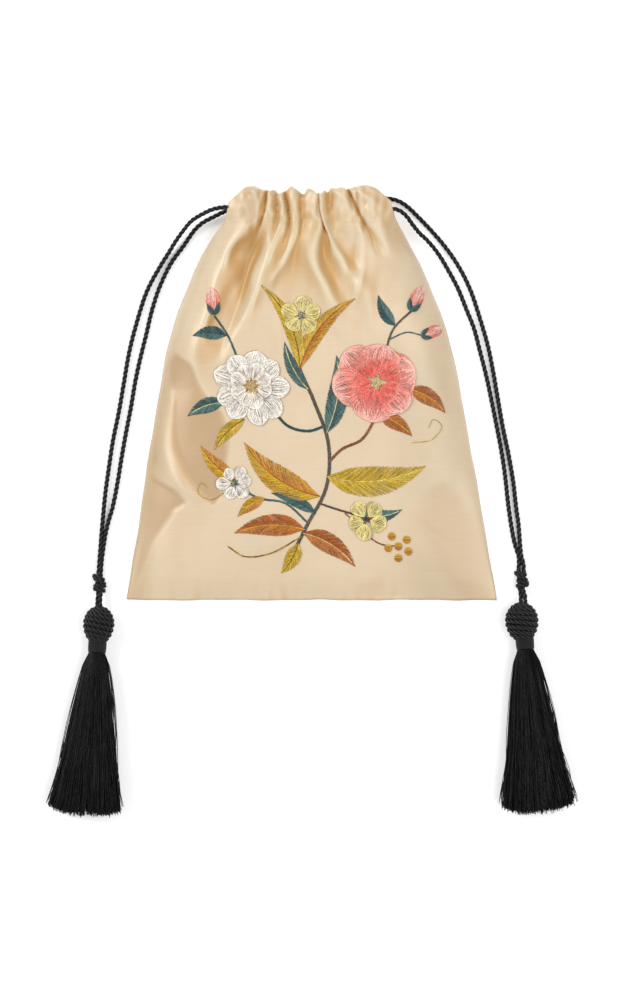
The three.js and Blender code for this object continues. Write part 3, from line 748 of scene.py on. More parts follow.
def column(table, key, by="up"):
    """A smooth function through one column of a table, over another, that never overshoots its rows."""
    rows = np.array(table[by], float)
    values = np.array(table[key], float)
    slopes = np.diff(values) / np.diff(rows)
    before = np.concatenate([slopes[:1], slopes])
    after = np.concatenate([slopes, slopes[-1:]])
    same = before * after > 0
    tangents = np.where(same, 2 * before * after / np.where(same, before + after, 1), 0)

    def at(place):
        place = np.clip(place, rows[0], rows[-1])
        i = np.clip(np.searchsorted(rows, place, side="right") - 1, 0, len(slopes) - 1)
        span = rows[i + 1] - rows[i]
        t = (place - rows[i]) / span
        rest = 1 - t
        return (values[i] * rest * rest * (1 + 2 * t) + values[i + 1] * t * t * (3 - 2 * t)
                + span * t * rest * (tangents[i] * rest - tangents[i + 1] * t))

    return at


left_at, right_at, loft_at = (column(SECTIONS, key) for key in ("left", "right", "loft"))
front_edge_at, back_edge_at = (column(SEAMS, key) for key in ("front", "back"))


# Waves of the edges, each (height, length over one radian, start).
LEFT_WAVER = [(0.22, 11, 0.6), (0.12, 4.7, 2)]
RIGHT_WAVER = [(0.22, 12.3, 2.2), (0.12, 5.1, 0)]
HEM_WAVER = [(0.2, 9, 1), (0.14, 3.7, 0)]
HEM_WAVER_FADE = 3  # height over which it dies away


def waver(place, parts):
    """How far an edge wavers at a place along it."""
    return sum(height * np.sin(place / length + start) for height, length, start in parts)


def half_width(share, up):
    """Half widths of the bag, with sides that waver a little."""
    left = left_at(up) + waver(up, LEFT_WAVER)
    right = right_at(up) + waver(up, RIGHT_WAVER)
    return np.where(share < 0, left, right)


def on_table(x, up, z):
    """Places on the table from their height over the bottom seam, which wavers a little."""
    return np.stack([x, up + waver(x, HEM_WAVER) * np.exp(-up / HEM_WAVER_FADE) - BAG_HEIGHT / 2, z], axis=-1)


# Ruffles of the casing: where the valleys between them are at its foot and at its top, as shares of the
# half width, and for each ruffle its height and how far its crest leans to the right, as a share of that
# height.
VALLEYS_AT_FOOT = [-1.0, -0.565, -0.4, -0.27, -0.125, 0.15, 0.24, 0.6, 1.0]
VALLEYS_AT_TOP = [-1.0, -0.555, -0.445, -0.335, -0.108, 0.065, 0.215, 0.465, 1.0]
RUFFLES = [5.2, 3.6, 4.4, 3.8, 4.8, 4.6, 4.4, 5.0]
LEANS = [0.3, -0.25, 0.1, 0.1, 0.6, -0.5, 0.35, -0.4]
RUFFLE_SHARPNESS = 0.72
# Outline of the casing's top edge as the photo shows it, in x and up from the bottom seam.
TOP_EDGE = {
    "x": [-49.4, -46.6, -43.4, -40.4, -36.0, -32.2, -27.3, -24.6, -21.8, -18.4, -15.6, -12.9, -10.1, -7.4,
          -5.3, -1.2, 2.3, 4.3, 7.8, 10.2, 13.3, 16.1, 20.2, 22.3, 26.4, 34.0, 39.5, 42.9, 47.0],
    "up": [238.3, 241.6, 245.2, 247.5, 247.6, 245.9, 245.0, 245.2, 242.8, 243.9, 245.2, 247.6, 246.0,
           244.2, 242.4, 246.3, 245.0, 243.2, 245.0, 243.7, 246.5, 246.2, 247.0, 245.8, 247.0, 248.3,
           247.0, 244.0, 239.5],
}
CASING_CALM = 0.2  # how much weaker the painted light and shade of the folds are on the casing
RIDGE_CALM = 0.55  # and how much weaker the painted highlight on its ridges is
FOLD_SHARPNESS = 1.8
PAINTED_FACING_GAIN = 1.25  # how strongly the painted light and shade follow the way the cloth faces
PAINTED_SHEEN_BEND = (0.02, 0.22)  # bend per millimetre where the painted highlight on a ridge or the painted shade in a valley starts and is full
PAINTED_SHEEN_SPREAD = 7  # passes that blur it
RUFFLE_FADE = (203.0, 231.0)  # up from the bottom seam, where the ruffles have gone and are full
SMALLEST_STEP = 0.05  # across, so that cloth which leans over itself gets no endless slope

# Uneven cloth of the front, in waves: their height, how much closer they are across and along, their seed,
# and their shortest and longest. Two numbers of a fade are where they start and are full, up from the seam.
CASING_CRUMPLE = (0.32, 1.4, 1.0, 5, 6, 14)
CRUMPLE_FADE = (212, 234)
EDGE_CREASES = (0.36, 1.0, 0.3, 6, 4.5, 8)
EDGE_FADE = (226, 246)
BROAD_SAG = (0.4, 1.0, 1.0, 7, 40, 90)
FINE_SAG = (0.05, 1.0, 1.0, 9, 11, 26)
HEM_PUCKER = (0.22, 1.0, 0.3, 8, 7, 16)
HEM_PUCKER_FADE = 6  # height over which they die away
GATHERED_CREASES = (0.4, 1.2, 0.4, 10, 9, 22)
GATHERED_FADE = (130, 190)
RIGHT_SIDE = (0.4, 0.65)  # shares of the half width between which those creases fade out

# Long folds: points (x, up) along the crest from the top down, height, the widths of the left and
# the right flank, and how much of the length fades out at the top and, where it isn't all, at the foot.
FOLDS = [
    {"crest": [(-29, 243), (-33, 231), (-42, 221), (-51, 209), (-55, 198), (-59, 188), (-62, 176),
               (-66, 164), (-70.5, 148), (-73, 126)],
     "rise": 6.8, "left": 24, "right": 6, "top": 0, "foot": 0.5},
    {"crest": [(-25.5, 236), (-27.5, 228), (-31, 217), (-35.5, 204), (-41, 188), (-45.5, 176), (-50, 164),
               (-58, 140)],
     "rise": -6.4, "left": 9, "right": 3.6, "top": 0, "foot": 0.7},
    {"crest": [(-20, 235), (-22.5, 226), (-25.5, 213), (-28.5, 199), (-31.5, 189), (-37, 174), (-44, 158)],
     "rise": 4.0, "left": 3.0, "right": 5.5, "top": 0, "foot": 0.6},
    {"crest": [(-6, 238), (-7, 232), (-10, 222), (-12, 214), (-16, 205), (-20, 197), (-23, 190), (-26, 176)],
     "rise": 4.0, "left": 3.4, "right": 4.6, "top": 0, "foot": 0.6},
    {"crest": [(-1, 240), (0, 220), (1.5, 204), (8.5, 185), (19, 152)],
     "rise": 5.8, "left": 5.4, "right": 5, "top": 0},
    {"crest": [(5, 234), (6.5, 218), (8.5, 204), (14, 190), (25, 164)],
     "rise": -3.2, "left": 3.2, "right": 3.2, "top": 0.1},
    {"crest": [(8.5, 232), (10.5, 223), (13.5, 213), (17.5, 203), (24, 191), (33, 166)],
     "rise": 4.6, "left": 5.4, "right": 5, "top": 0.12},
    {"crest": [(17.5, 240), (26, 227), (31, 215), (31.5, 200), (28.5, 188), (19, 166)],
     "rise": 4.6, "left": 3.8, "right": 13, "top": 0},
    {"crest": [(27.5, 236), (31.5, 226), (36.3, 220.5), (39.5, 214), (43, 204)],
     "rise": -3.0, "left": 1.6, "right": 2.2, "top": 0.2},
    {"crest": [(34, 240), (37, 226), (43, 217), (50, 204)],
     "rise": 4.0, "left": 4.2, "right": 13, "top": 0},
    {"crest": [(-81, 134), (-87, 122), (-89.5, 108), (-89.5, 94), (-86, 82), (-78, 68), (-67, 61),
               (-58, 57)],
     "rise": 2.2, "left": 5, "right": 5, "top": 0.4, "foot": 0.3},
    {"crest": [(52, 60), (64, 47), (84, 26), (93, 8)], "rise": 1.7, "left": 16, "right": 7, "top": 0.5},
    {"crest": [(84, 150), (88, 132), (86, 112)], "rise": -1.2, "left": 6, "right": 4, "top": 0.5},
    {"crest": [(-30, 190), (-18, 160), (-14, 110)], "rise": 1.8, "left": 9, "right": 16, "top": 0.4},
    {"crest": [(56, 200), (60, 150), (62, 90)], "rise": 1.4, "left": 18, "right": 12, "top": 0.4},
]

# Hollows of the front: between which x they lie at each height up from the bottom seam, how wide
# the brim is that slopes down into them, and how deep they are.
# The silk gets painted shade in each hollow, darker the deeper it is; the last one lies mostly on the casing,
# where it is almost only painted shade.
HOLLOWS = [
    {"up": [56, 62, 68, 80, 94, 105, 112, 119, 130, 140, 150],
     "left": [-58, -67, -72, -79.5, -84, -84.5, -84.5, -84, -87, -87, -83],
     "right": [-58, -52, -51, -49, -47.5, -49.5, -52, -59, -66, -70, -83], "brim": 4.2, "depth": 1.2},
    {"up": [2, 12, 30, 48, 54, 58, 62, 65, 70, 73, 78, 84, 102, 124, 132],
     "left": [-109, -107.5, -105.3, -102.3, -101.3, -100.8, -100.3, -99.8, -98.8, -98.3, -97.5, -96.8,
              -95, -93, -92],
     "right": [-109, -102.5, -95.5, -83.5, -79.5, -74, -76.5, -79, -87, -92, -94, -91, -91.5, -90, -92],
     "brim": 4.2, "depth": 1.2},
    {"up": [-10, 10, 18, 30, 48, 62, 76], "left": [90, 75, 68, 64, 57, 62, 80],
     "right": [112, 116, 115, 112, 105, 96, 80], "brim": 14, "depth": 0.5},
    {"up": [222, 229, 236, 243, 249], "left": [-37, -44, -44, -43, -37],
     "right": [-37, -32, -29.5, -29.5, -37], "brim": 3.5, "depth": 0.7},
]
DEEPEST_HOLLOW = max(hollow["depth"] for hollow in HOLLOWS)

# Shares of each panel's length where the casing starts, where its edge starts to turn over, and where the
# cloth goes down again inside.
CASING_START = 0.72
CASING_EDGE = 0.86
CASING_INSIDE = 0.93
INSIDE_NARROWING = 0.14  # how much narrower the cloth is inside the casing
FRONT_ROUND = 0.16  # share of the casing's depth that its edge rounds off
BACK_ROUND = 0.14
EDGE_LEVEL = 3.0  # under the bag's top, where the ruffles' places are read for the edge
BACK_RIPPLES = 7


def smoothstep(low, high, value):
    """A soft rise from 0 at one value to 1 at another."""
    t = np.clip((value - low) / (high - low), 0, 1)
    return t * t * (3 - 2 * t)


top_edge_at = column(TOP_EDGE, "up", by="x")


def ruffle_at(share, up):
    """Which ruffle of the casing a share of the half width is on at a height, and how far across it."""
    share, up = np.broadcast_arrays(share, up)
    share = share + 0.015 * np.sin((up - STITCH_UP) / 5.5 + 7 * share) * (1 - np.clip(share * share, 0, 1))
    risen = np.clip((up - STITCH_UP) / (BAG_HEIGHT - STITCH_UP), -0.3, 1)[..., None]
    valleys = np.array(VALLEYS_AT_FOOT) * (1 - risen) + np.array(VALLEYS_AT_TOP) * risen
    which = np.clip((share[..., None] >= valleys).sum(axis=-1) - 1, 0, len(RUFFLES) - 1)
    left = np.take_along_axis(valleys, which[..., None], axis=-1)[..., 0]
    right = np.take_along_axis(valleys, which[..., None] + 1, axis=-1)[..., 0]
    return which, np.clip((share - left) / (right - left), 0, 1)


def ruffled(share, up):
    """Height of the casing's ruffles: arches between pinched valleys."""
    which, across = ruffle_at(share, up)
    return np.array(RUFFLES)[which] * np.sin(np.pi * across) ** RUFFLE_SHARPNESS


def folded(x, up):
    """Height of the long folds."""
    height = np.zeros_like(x)
    for turn, fold in enumerate(FOLDS):
        crest = sorted(fold["crest"], key=lambda point: point[1])
        ups = [point[1] for point in crest]
        middle = column({"up": ups, "x": [point[0] for point in crest]}, "x")(up)
        along = np.clip((up - ups[0]) / (ups[-1] - ups[0]), 0, 1)
        strength = np.sin(np.clip(along / fold.get("foot", 1.0), 0, 1) * np.pi / 2) ** 1.1
        strength = strength * (1 + 0.2 * np.sin(up / 11 + 1.3 * turn))
        if fold["top"] > 0:
            strength = strength * smoothstep(0, fold["top"], 1 - along)
        off = x - middle
        width = np.where(off < 0, fold["left"], fold["right"]) * (1.35 - 0.45 * along)
        width = width * (1 + 0.25 * np.sin(up / 7 + 2.1 * turn))
        power = FOLD_SHARPNESS if fold["rise"] > 0 else 2
        height += fold["rise"] * strength * np.exp(-np.abs(off / width) ** power)
    return height


def hollow_at(x, up):
    """How deep in one of the hollows a place is."""
    deep = np.zeros_like(x)
    for hollow in HOLLOWS:
        inside = smoothstep(0, hollow["brim"], x - column(hollow, "left")(up))
        inside = inside * smoothstep(0, hollow["brim"], column(hollow, "right")(up) - x)
        deep = np.maximum(deep, hollow["depth"] * inside)
    return deep


def waves(x, up, height, closer_across, closer_along, seed, shortest, longest):
    """A smooth random height made of waves in all directions."""
    rng = np.random.default_rng(seed)
    count = 24
    total = np.zeros_like(x)
    for _ in range(count):
        length = shortest * (longest / shortest) ** rng.random()
        heading = rng.uniform(0, np.pi)
        phase = rng.uniform(0, 2 * np.pi)
        onward = closer_across * x * np.cos(heading) + closer_along * up * np.sin(heading)
        total += np.sin(2 * np.pi * onward / length + phase)
    return height * total * (2 / count) ** 0.5


def front_height(share, up):
    """Height of the front's outside over the table."""
    return np.maximum(swollen(share, up) + relief(share, up), FRONT_LOWEST)


def swollen(share, up):
    """Height of the front's plain swell, flat on top and rounded at the sides."""
    swell = (1 - np.clip(np.abs(share), 0, 1) ** 4.5) ** 0.75
    return front_edge_at(up) + (loft_at(up) - front_edge_at(up)) * swell


def clear_of_seams(share):
    """1 on most of the bag, falling to 0 at its side seams."""
    return 1 - np.clip(np.abs(share), 0, 1) ** 9


def relief(share, up):
    """Height of the ruffles, folds and sags on the swell."""
    full = smoothstep(*RUFFLE_FADE, up)
    x = share * half_width(share, up)
    crumple = waves(x, up, *CASING_CRUMPLE) * smoothstep(*CRUMPLE_FADE, up)
    crumple = crumple + waves(x, up, *EDGE_CREASES) * smoothstep(*EDGE_FADE, up)
    sag = waves(x, up, *BROAD_SAG) + waves(x, up, *FINE_SAG)
    sag = sag + waves(x, up, *HEM_PUCKER) * np.exp(-up / HEM_PUCKER_FADE)
    left_of_right_side = 1 - smoothstep(*RIGHT_SIDE, share)
    sag = sag + waves(x, up, *GATHERED_CREASES) * smoothstep(*GATHERED_FADE, up) * left_of_right_side
    sag = sag - hollow_at(x, up)
    lying = full * ruffled(share, up) + (1 - full) * (folded(x, up) + sag) + crumple
    return lying * clear_of_seams(share)


def front_lean(share, up):
    """How far the crests of the casing's ruffles lean over sideways."""
    which, _ = ruffle_at(share, up)
    lean = np.array(LEANS)[which] * ruffled(share, up)
    return lean * smoothstep(*RUFFLE_FADE, up) * clear_of_seams(share)


def cloth_grid(name, columns, rows, place):
    """A sheet of silk from a function that places every (column, row), with its UV map, and its points."""
    across, along = np.meshgrid(np.linspace(-1, 1, columns + 1), np.linspace(0, 1, rows + 1), indexing="ij")
    points = place(across, along)
    index = np.arange((columns + 1) * (rows + 1)).reshape(columns + 1, rows + 1)
    faces = np.stack([index[:-1, :-1], index[1:, :-1], index[1:, 1:], index[:-1, 1:]], axis=-1)
    piece = mesh_piece(name, points.reshape(-1, 3), faces=faces.reshape(-1, 4).tolist(), material=silk)
    layer = piece.data.uv_layers.new(name="cloth")
    corners = np.zeros(len(piece.data.loops), int)
    piece.data.loops.foreach_get("vertex_index", corners)
    uv = np.stack([across.ravel(), along.ravel()], axis=-1)[corners]
    layer.data.foreach_set("uv", uv.ravel())
    piece.data.polygons.foreach_set("use_smooth", [True] * len(piece.data.polygons))
    return piece, points


def keep_value(piece, label, values):
    """Keeps a value on each of a piece's points under a name that its material reads."""
    layer = piece.data.attributes.new(label, "FLOAT", "POINT")
    layer.data.foreach_set("value", values.ravel())


def shade_folds(piece, points):
    """Tells the silk's material which way the folds face, how sharply they turn and where hollows are, for
    the light and shade painted on it.
    """
    x = points[..., 0]
    up = points[..., 1] + BAG_HEIGHT / 2
    lift = points[..., 2] - swollen(x / half_width(x, up), up)
    step = np.maximum(np.gradient(x, axis=0), SMALLEST_STEP)
    casing = smoothstep(*RUFFLE_FADE, up)
    fall = -np.gradient(lift, axis=0) / step * (1 - CASING_CALM * casing)
    bend = np.gradient(fall, axis=0) / step
    for _ in range(PAINTED_SHEEN_SPREAD):
        bend[1:-1] = (bend[:-2] + 2 * bend[1:-1] + bend[2:]) / 4
    # Painted light and shade by the way the cloth faces, from its slope across.
    keep_value(piece, "slope", np.tanh(fall * PAINTED_FACING_GAIN))
    # Painted highlight on the ridges and painted shade in the valleys, from how sharply the cloth bends.
    keep_value(piece, "ridge", smoothstep(*PAINTED_SHEEN_BEND, bend) * (1 - RIDGE_CALM * casing))
    keep_value(piece, "valley", smoothstep(*PAINTED_SHEEN_BEND, -bend))
    # Painted shade in the hollows.
    keep_value(piece, "hollow", hollow_at(x, up) / DEEPEST_HOLLOW)


def casing_course(along, depth, rounded):
    """How far up a panel's cloth is, how far it has turned over the edge and how far down it is inside.

    The casing has a depth, and its edge rounds off a share of it.
    """
    rising = np.clip((along - CASING_START) / (CASING_EDGE - CASING_START), 0, 1)
    turn = np.clip((along - CASING_EDGE) / (CASING_INSIDE - CASING_EDGE), 0, 1) * np.pi
    falling = np.clip((along - CASING_INSIDE) / (1 - CASING_INSIDE), 0, 1)
    up = STITCH_UP * np.minimum(along / CASING_START, 1)
    up = up + (rising - falling) * depth * (1 - rounded) + np.sin(turn) * depth * rounded
    return up, (1 - np.cos(turn)) / 2, falling


def front_place(across, along):
    """The front from its bottom seam up to the casing, over the top and down inside to the stitches."""
    sewn_under = 3.0
    level = BAG_HEIGHT - EDGE_LEVEL
    depth = top_edge_at(across * half_width(across, level) + front_lean(across, level)) - STITCH_UP
    up, turned, falling = casing_course(along, depth, FRONT_ROUND)
    outer_z = front_height(across, up)
    inner_z = FRONT_CORD_Z - CORD_CLEARANCE - 0.25 * ruffled(across, up)
    inner_z = inner_z + (outer_z - sewn_under - inner_z) * smoothstep(0.8, 1.0, falling)
    inside = turned * (1 - smoothstep(0.5, 0.9, falling))
    x = across * half_width(across, up) * (1 - INSIDE_NARROWING * inside)
    x = x + front_lean(across, up) * (1 - inside)
    return on_table(x, up, outer_z + (inner_z - outer_z) * turned)


def back_place(across, along):
    """The back: flat on the table, with a rippled casing that is turned in like the front's."""
    sewn_over = 1.0
    ripple = 0.5 + 0.5 * np.cos(across * BACK_RIPPLES * np.pi)
    out = np.abs(across)
    corner = np.where(across < 0, 7.5, 4.0) * smoothstep(0.82, 1.0, out)
    top = BAG_HEIGHT - 5.0 - 1.2 * ripple + 2.4 * smoothstep(0.5, 0.65, out) - corner
    up, turned, falling = casing_course(along, top - STITCH_UP, BACK_ROUND)
    side = smoothstep(0.74, 1.0, out) ** 1.5
    outer_z = BACK_Z + 2.5 * (1 - ripple) * smoothstep(168, 224, up) * (1 - side)
    outer_z = outer_z + (back_edge_at(up) - BACK_Z) * side
    inner_z = BACK_CORD_Z + CORD_CLEARANCE + 1.3 * (1 - ripple)
    inner_z = inner_z + (outer_z + sewn_over - inner_z) * smoothstep(0.8, 1.0, falling)
    x = across * half_width(across, up) * (1 - INSIDE_NARROWING * smoothstep(0.0, 1.0, turned))
    return on_table(x, up, outer_z + (inner_z - outer_z) * turned)


def thicken(piece, offset):
    """Gives a sheet of silk its wall: inwards at -1, and to both sides at 0."""
    wall = piece.modifiers.new("wall", "SOLIDIFY")
    wall.thickness = SILK_THICKNESS * MM
    wall.offset = offset


# Embroidery

THREAD = 0.46
THREAD_SPACING = 0.4
SEWING_THREAD = 0.25
THREAD_ALBEDO = 0.84
THREAD_REST = 0.22  # how far a thread's middle lies over the silk, as a share of its thickness
THREAD_SHADES = (0.66, 1.24)  # between which stitches of one colour vary
SATIN_STITCH = (4.5, 8.5)  # shortest and longest
STEM_STITCH = 4.5
BLOSSOM_LAYER = 3  # blossoms lie over the leaves and stems
LAYER = 0.16  # how much higher each overlapping layer of stitches lies
COLOURS = {  # sRGB
    "coral": (231, 104, 90), "rose": (238, 146, 130), "blush": (246, 196, 182), "cream": (243, 237, 226),
    "stone": (186, 165, 145), "umber": (138, 112, 92), "mustard": (190, 154, 30), "gold": (214, 180, 48),
    "ochre": (197, 122, 34), "rust": (166, 84, 34), "teal": (44, 78, 82), "sage": (84, 122, 116),
    "straw": (228, 212, 144), "lemon": (214, 196, 98), "brown": (122, 80, 38), "pearl": (214, 202, 186),
    "champagne": (224, 198, 160),
}
# Stems: thickness, colours and points along the middle line.
STEMS = [
    (2.0, ("teal", "brown"), [(-12, -98), (-3, -80), (9, -56), (10, -30), (1, -4), (-8, 18), (-7, 36)]),
    (1.7, ("brown", "rust"), [(10, -42), (18, -34), (30, -28), (38, -16)]),
    (1.2, ("teal", "sage"), [(-2, -78), (-16, -66), (-32, -63), (-46, -54)]),
    (1.6, ("teal", "teal"), [(8, -20), (-2, -23), (-14, -20), (-24, -9)]),
    (1.3, ("teal", "brown"), [(44, 24), (49, 38), (61, 50)]),
    (0.9, ("teal", "sage"), [(47, 32), (57, 36), (67, 34)]),
    (1.2, ("teal", "sage"), [(-44, 20), (-50, 34), (-58, 46)]),
    (1.2, ("brown", "teal"), [(4, -66), (16, -70), (30, -74)]),
    (0.8, ("mustard", "brown"), [(-6, -86), (-24, -96), (-40, -98), (-50, -92)]),
    (0.9, ("rust", "brown"), [(20, -72), (40, -90), (52, -92)]),
    (0.5, ("mustard", "gold"), [(-50, -58), (-60, -64), (-68, -60), (-66, -54), (-62, -57)]),
    (0.5, ("mustard", "gold"), [(60, -30), (72, -28), (78, -20), (73, -16), (70, -21)]),
]
# Leaves: where they start and end, width, bend of the middle line, and colours of both halves and vein.
LEAVES = [
    ((9, -50), (68, -44), 18, -0.2, ("gold", "mustard", "straw")),
    ((5, -62), (-40, -30), 16, 0.22, ("ochre", "gold", "rust")),
    ((-4, -82), (-46, -84), 13, -0.18, ("rust", "ochre", "gold")),
    ((-5, -84), (26, -104), 12, 0.18, ("ochre", "rust", "straw")),
    ((-8, -90), (-18, -108), 9, 0.14, ("mustard", "gold", "brown")),
    ((2, -72), (-24, -60), 7, -0.12, ("teal", "sage", "teal")),
    ((9, -24), (15, 22), 12, -0.16, ("teal", "sage", "straw")),
    ((-7, 14), (-30, 64), 9, -0.22, ("mustard", "gold", "brown")),
    ((-7, 14), (26, 56), 10, 0.22, ("ochre", "gold", "rust")),
    ((-2, 2), (-16, 30), 8, 0.16, ("teal", "sage", "straw")),
    ((-44, -52), (-66, -32), 9, 0.18, ("ochre", "gold", "rust")),
    ((-28, -63), (-44, -74), 7, -0.14, ("mustard", "ochre", "gold")),
    ((-51, 34), (-71, 34), 8, -0.18, ("teal", "sage", "teal")),
    ((50, 40), (40, 58), 7, 0.16, ("sage", "teal", "teal")),
    ((28, -73), (54, -70), 8, -0.2, ("teal", "sage", "straw")),
    ((58, 2), (80, -12), 10, 0.2, ("ochre", "rust", "gold")),
    ((-52, -6), (-74, -14), 9, -0.18, ("teal", "sage", "straw")),
    ((-40, -16), (-58, -34), 8, -0.16, ("mustard", "gold", "brown")),
    ((40, -14), (60, -26), 9, 0.18, ("rust", "ochre", "gold")),
]
# Blossoms: middle, and rings of petals from the outermost in: count, reach from and to, width, turn in
# degrees and colours from the base to the tip. Knots fill the middle: count, radius and colours.
BLOSSOMS = [
    {"middle": (39, 6), "outline": "rose",
     "rings": [(6, 5, 25, 23, 12, ("coral", "rose", "blush")),
               (5, 3, 15.5, 15, 40, ("coral", "coral", "rose"))],
     "knots": (16, 3.6, ("straw", "lemon"))},
    {"middle": (-36, 4), "outline": "pearl",
     "rings": [(9, 5, 23, 13.5, 0, ("umber", "cream", "cream")),
               (8, 3, 14, 9.5, 22, ("stone", "cream", "cream"))],
     "knots": (22, 4.4, ("ochre", "gold"))},
    {"middle": (-6, 46), "outline": None,
     "rings": [(5, 2, 12, 10.5, 18, ("lemon", "straw", "straw"))], "knots": (8, 2.4, ("teal", "sage"))},
    {"middle": (-46, -54), "outline": None,
     "rings": [(6, 2, 10.5, 8, 5, ("stone", "cream", "cream"))], "knots": (8, 2.2, ("teal", "sage"))},
    {"middle": (33, -76), "outline": None,
     "rings": [(5, 2, 12, 10.5, 50, ("lemon", "straw", "straw"))], "knots": (9, 2.4, ("teal", "rust"))},
]
# Buds: where they start and end, and width.
BUDS = [
    ((60, 50), (66, 63), 8),
    ((67, 34), (78, 39), 6.5),
    ((-58, 48), (-60, 62), 8),
]
BERRIES = [(52, -92), (57, -88), (58, -95), (46, -93), (52, -99), (48, -86)]
BERRY_RADIUS = 2.3


def linear(colour):
    """A named thread's colour as linear light. None is dark enough for the straight foot of sRGB's curve."""
    return THREAD_ALBEDO * ((np.array(COLOURS[colour]) / 255 + 0.055) / 1.055) ** 2.4


class Spine:
    """A bent middle line from one point to another, and the outline of a petal or leaf round it."""

    def __init__(self, base, tip, width, bend, fullest, roundness):
        self.base, self.tip = np.array(base, float), np.array(tip, float)
        run = self.tip - self.base
        self.length = float(np.linalg.norm(run))
        self.middle = (self.base + self.tip) / 2 + bend * np.array([-run[1], run[0]])
        self.half = width / 2
        self.power = math.log(0.5) / math.log(fullest)
        self.roundness = roundness

    def shape(self, t):
        return np.sin(np.pi * np.clip(t, 0, 1) ** self.power) ** self.roundness

    def at(self, t, aside):
        """The point a share t of the way along, and a share aside of the half width off the line."""
        t = np.asarray(t, float)[:, None]
        point = (1 - t) ** 2 * self.base + 2 * t * (1 - t) * self.middle + t**2 * self.tip
        heading = (1 - t) * (self.middle - self.base) + t * (self.tip - self.middle)
        heading /= np.linalg.norm(heading, axis=1, keepdims=True)
        normal = np.stack([-heading[:, 1], heading[:, 0]], axis=1)
        return point + normal * (np.asarray(aside) * self.half)[:, None]


class Stitches:
    """Stitches on the front: flat paths, their height over the silk and their colours."""

    def __init__(self, seed):
        self.rng = np.random.default_rng(seed)
        self.chains, self.colours = [], []

    def add(self, path, colour, layer=0, arch=0.14):
        t = np.linspace(0, 1, len(path))
        height = THREAD * THREAD_REST + layer * LAYER + arch * np.sin(np.pi * t) ** 0.6
        self.chains.append(np.column_stack([path, height]))
        self.colours.append(np.clip(colour * self.rng.uniform(*THREAD_SHADES), 0, 1))

    def laid(self):
        """The stitches' paths, raised onto the silk."""
        points = np.concatenate(self.chains)
        up = points[:, 1] + BAG_HEIGHT / 2
        points[:, 2] += front_height(points[:, 0] / half_width(points[:, 0], up), up)
        return np.split(points, np.cumsum([len(chain) for chain in self.chains])[:-1])

    def mix(self, colours, t):
        """A colour part of the way along a list of named ones, with some scatter."""
        place = np.clip(t + self.rng.normal(0, 0.12), 0, 0.999) * (len(colours) - 1)
        first = int(place)
        after = place - first
        return linear(colours[first]) * (first + 1 - place) + linear(colours[first + 1]) * after

    def petal(self, spine, colours, layer):
        """Long and short stitches from the base to the tip."""
        rows = max(4, int(2 * spine.half / THREAD_SPACING))
        for row in range(rows):
            aside = -1 + 2 * (row + 0.5) / rows
            t = self.rng.uniform(0, 0.1)
            while t < 0.96:
                end = min(1.0, t + self.rng.uniform(*SATIN_STITCH) / spine.length)
                if self.rng.random() < 1.2 * spine.shape((t + end) / 2) + 0.12:
                    ts = np.linspace(t, end, 5)
                    off = (aside + self.rng.normal(0, 0.6 / rows)) * spine.shape(ts)
                    self.add(spine.at(ts, off), self.mix(colours, (t + end) / 2), layer)
                t = end + self.rng.uniform(-0.05, 0.02)

    def leaf(self, spine, colours, layer):
        """Slanting stitches from the vein to the edge on both sides, and the vein over them."""
        slant = 0.5 * spine.half * 1.6 / spine.length + 0.06
        rise = math.atan2(spine.half, slant * spine.length)
        count = int(spine.length * math.sin(rise) / (0.85 * THREAD_SPACING))
        for i in range(count):
            t = i / count
            for half, side in enumerate((-1, 1)):
                reach = slant * self.rng.uniform(0.93, 1.07)
                end = min(1.0, t + reach)
                edge = side * spine.shape(end) * self.rng.uniform(0.96, 1.03)
                cuts = [0, 1] if abs(edge) * spine.half < 4 else [0, self.rng.uniform(0.35, 0.65), 1]
                for start, stop in zip(cuts[:-1], cuts[1:]):
                    part = np.linspace(start, stop, 5)
                    colour = self.mix((colours[half], colours[1 - half]), 0.55 * (start + stop) / 2)
                    self.add(spine.at(t + (end - t) * part, edge * part), colour, layer)
        vein = spine.at(np.linspace(0, 0.93, 40), np.zeros(40))
        self.line(vein, 0.5, (colours[2], colours[2]), layer + 1.5)

    def line(self, path, thickness, colours, layer):
        """Stem stitch: short stitches that overlap along a line, in as many lanes as it is wide."""
        lanes = max(1, round(thickness / THREAD_SPACING))
        heading = np.gradient(path, axis=0)
        normal = np.stack([-heading[:, 1], heading[:, 0]], axis=1)
        normal /= np.linalg.norm(normal, axis=1, keepdims=True)
        step = np.linalg.norm(heading, axis=1).mean()
        reach = max(3, int(STEM_STITCH / step))
        for lane in range(lanes):
            aside = (lane - (lanes - 1) / 2) * THREAD_SPACING
            for start in range(-(lane % 2) * reach // 2, len(path) - 2, reach):
                part = slice(max(start, 0), min(start + reach + 2, len(path)))
                if part.stop - part.start > 2:
                    lean = np.linspace(-0.1, 0.1, part.stop - part.start)[:, None]
                    stitch = path[part] + normal[part] * (aside + lean)
                    self.add(stitch, self.mix(colours, self.rng.random()), layer)

    def knots(self, middle, count, radius, colours, layer):
        """Knotted stitches set close together in a disc."""
        for i in range(count):
            out, turn = radius * math.sqrt((i + 0.5) / count), i * 2.4
            centre = np.array(middle) + out * np.array([math.cos(turn), math.sin(turn)])
            angle = np.linspace(0, 2.3 * math.pi, 10) + self.rng.uniform(0, 6)
            curl = np.stack([np.cos(angle), np.sin(angle)], axis=1) * np.linspace(0.55, 0.2, 10)[:, None]
            self.add(centre + curl, self.mix(colours, self.rng.random()), layer, arch=0.5)


def petal_spine(base, tip, width, bend=0.0):
    return Spine(base, tip, width, bend, fullest=0.62, roundness=0.62)


def leaf_spine(base, tip, width, bend):
    return Spine(base, tip, width, bend, fullest=0.42, roundness=0.95)


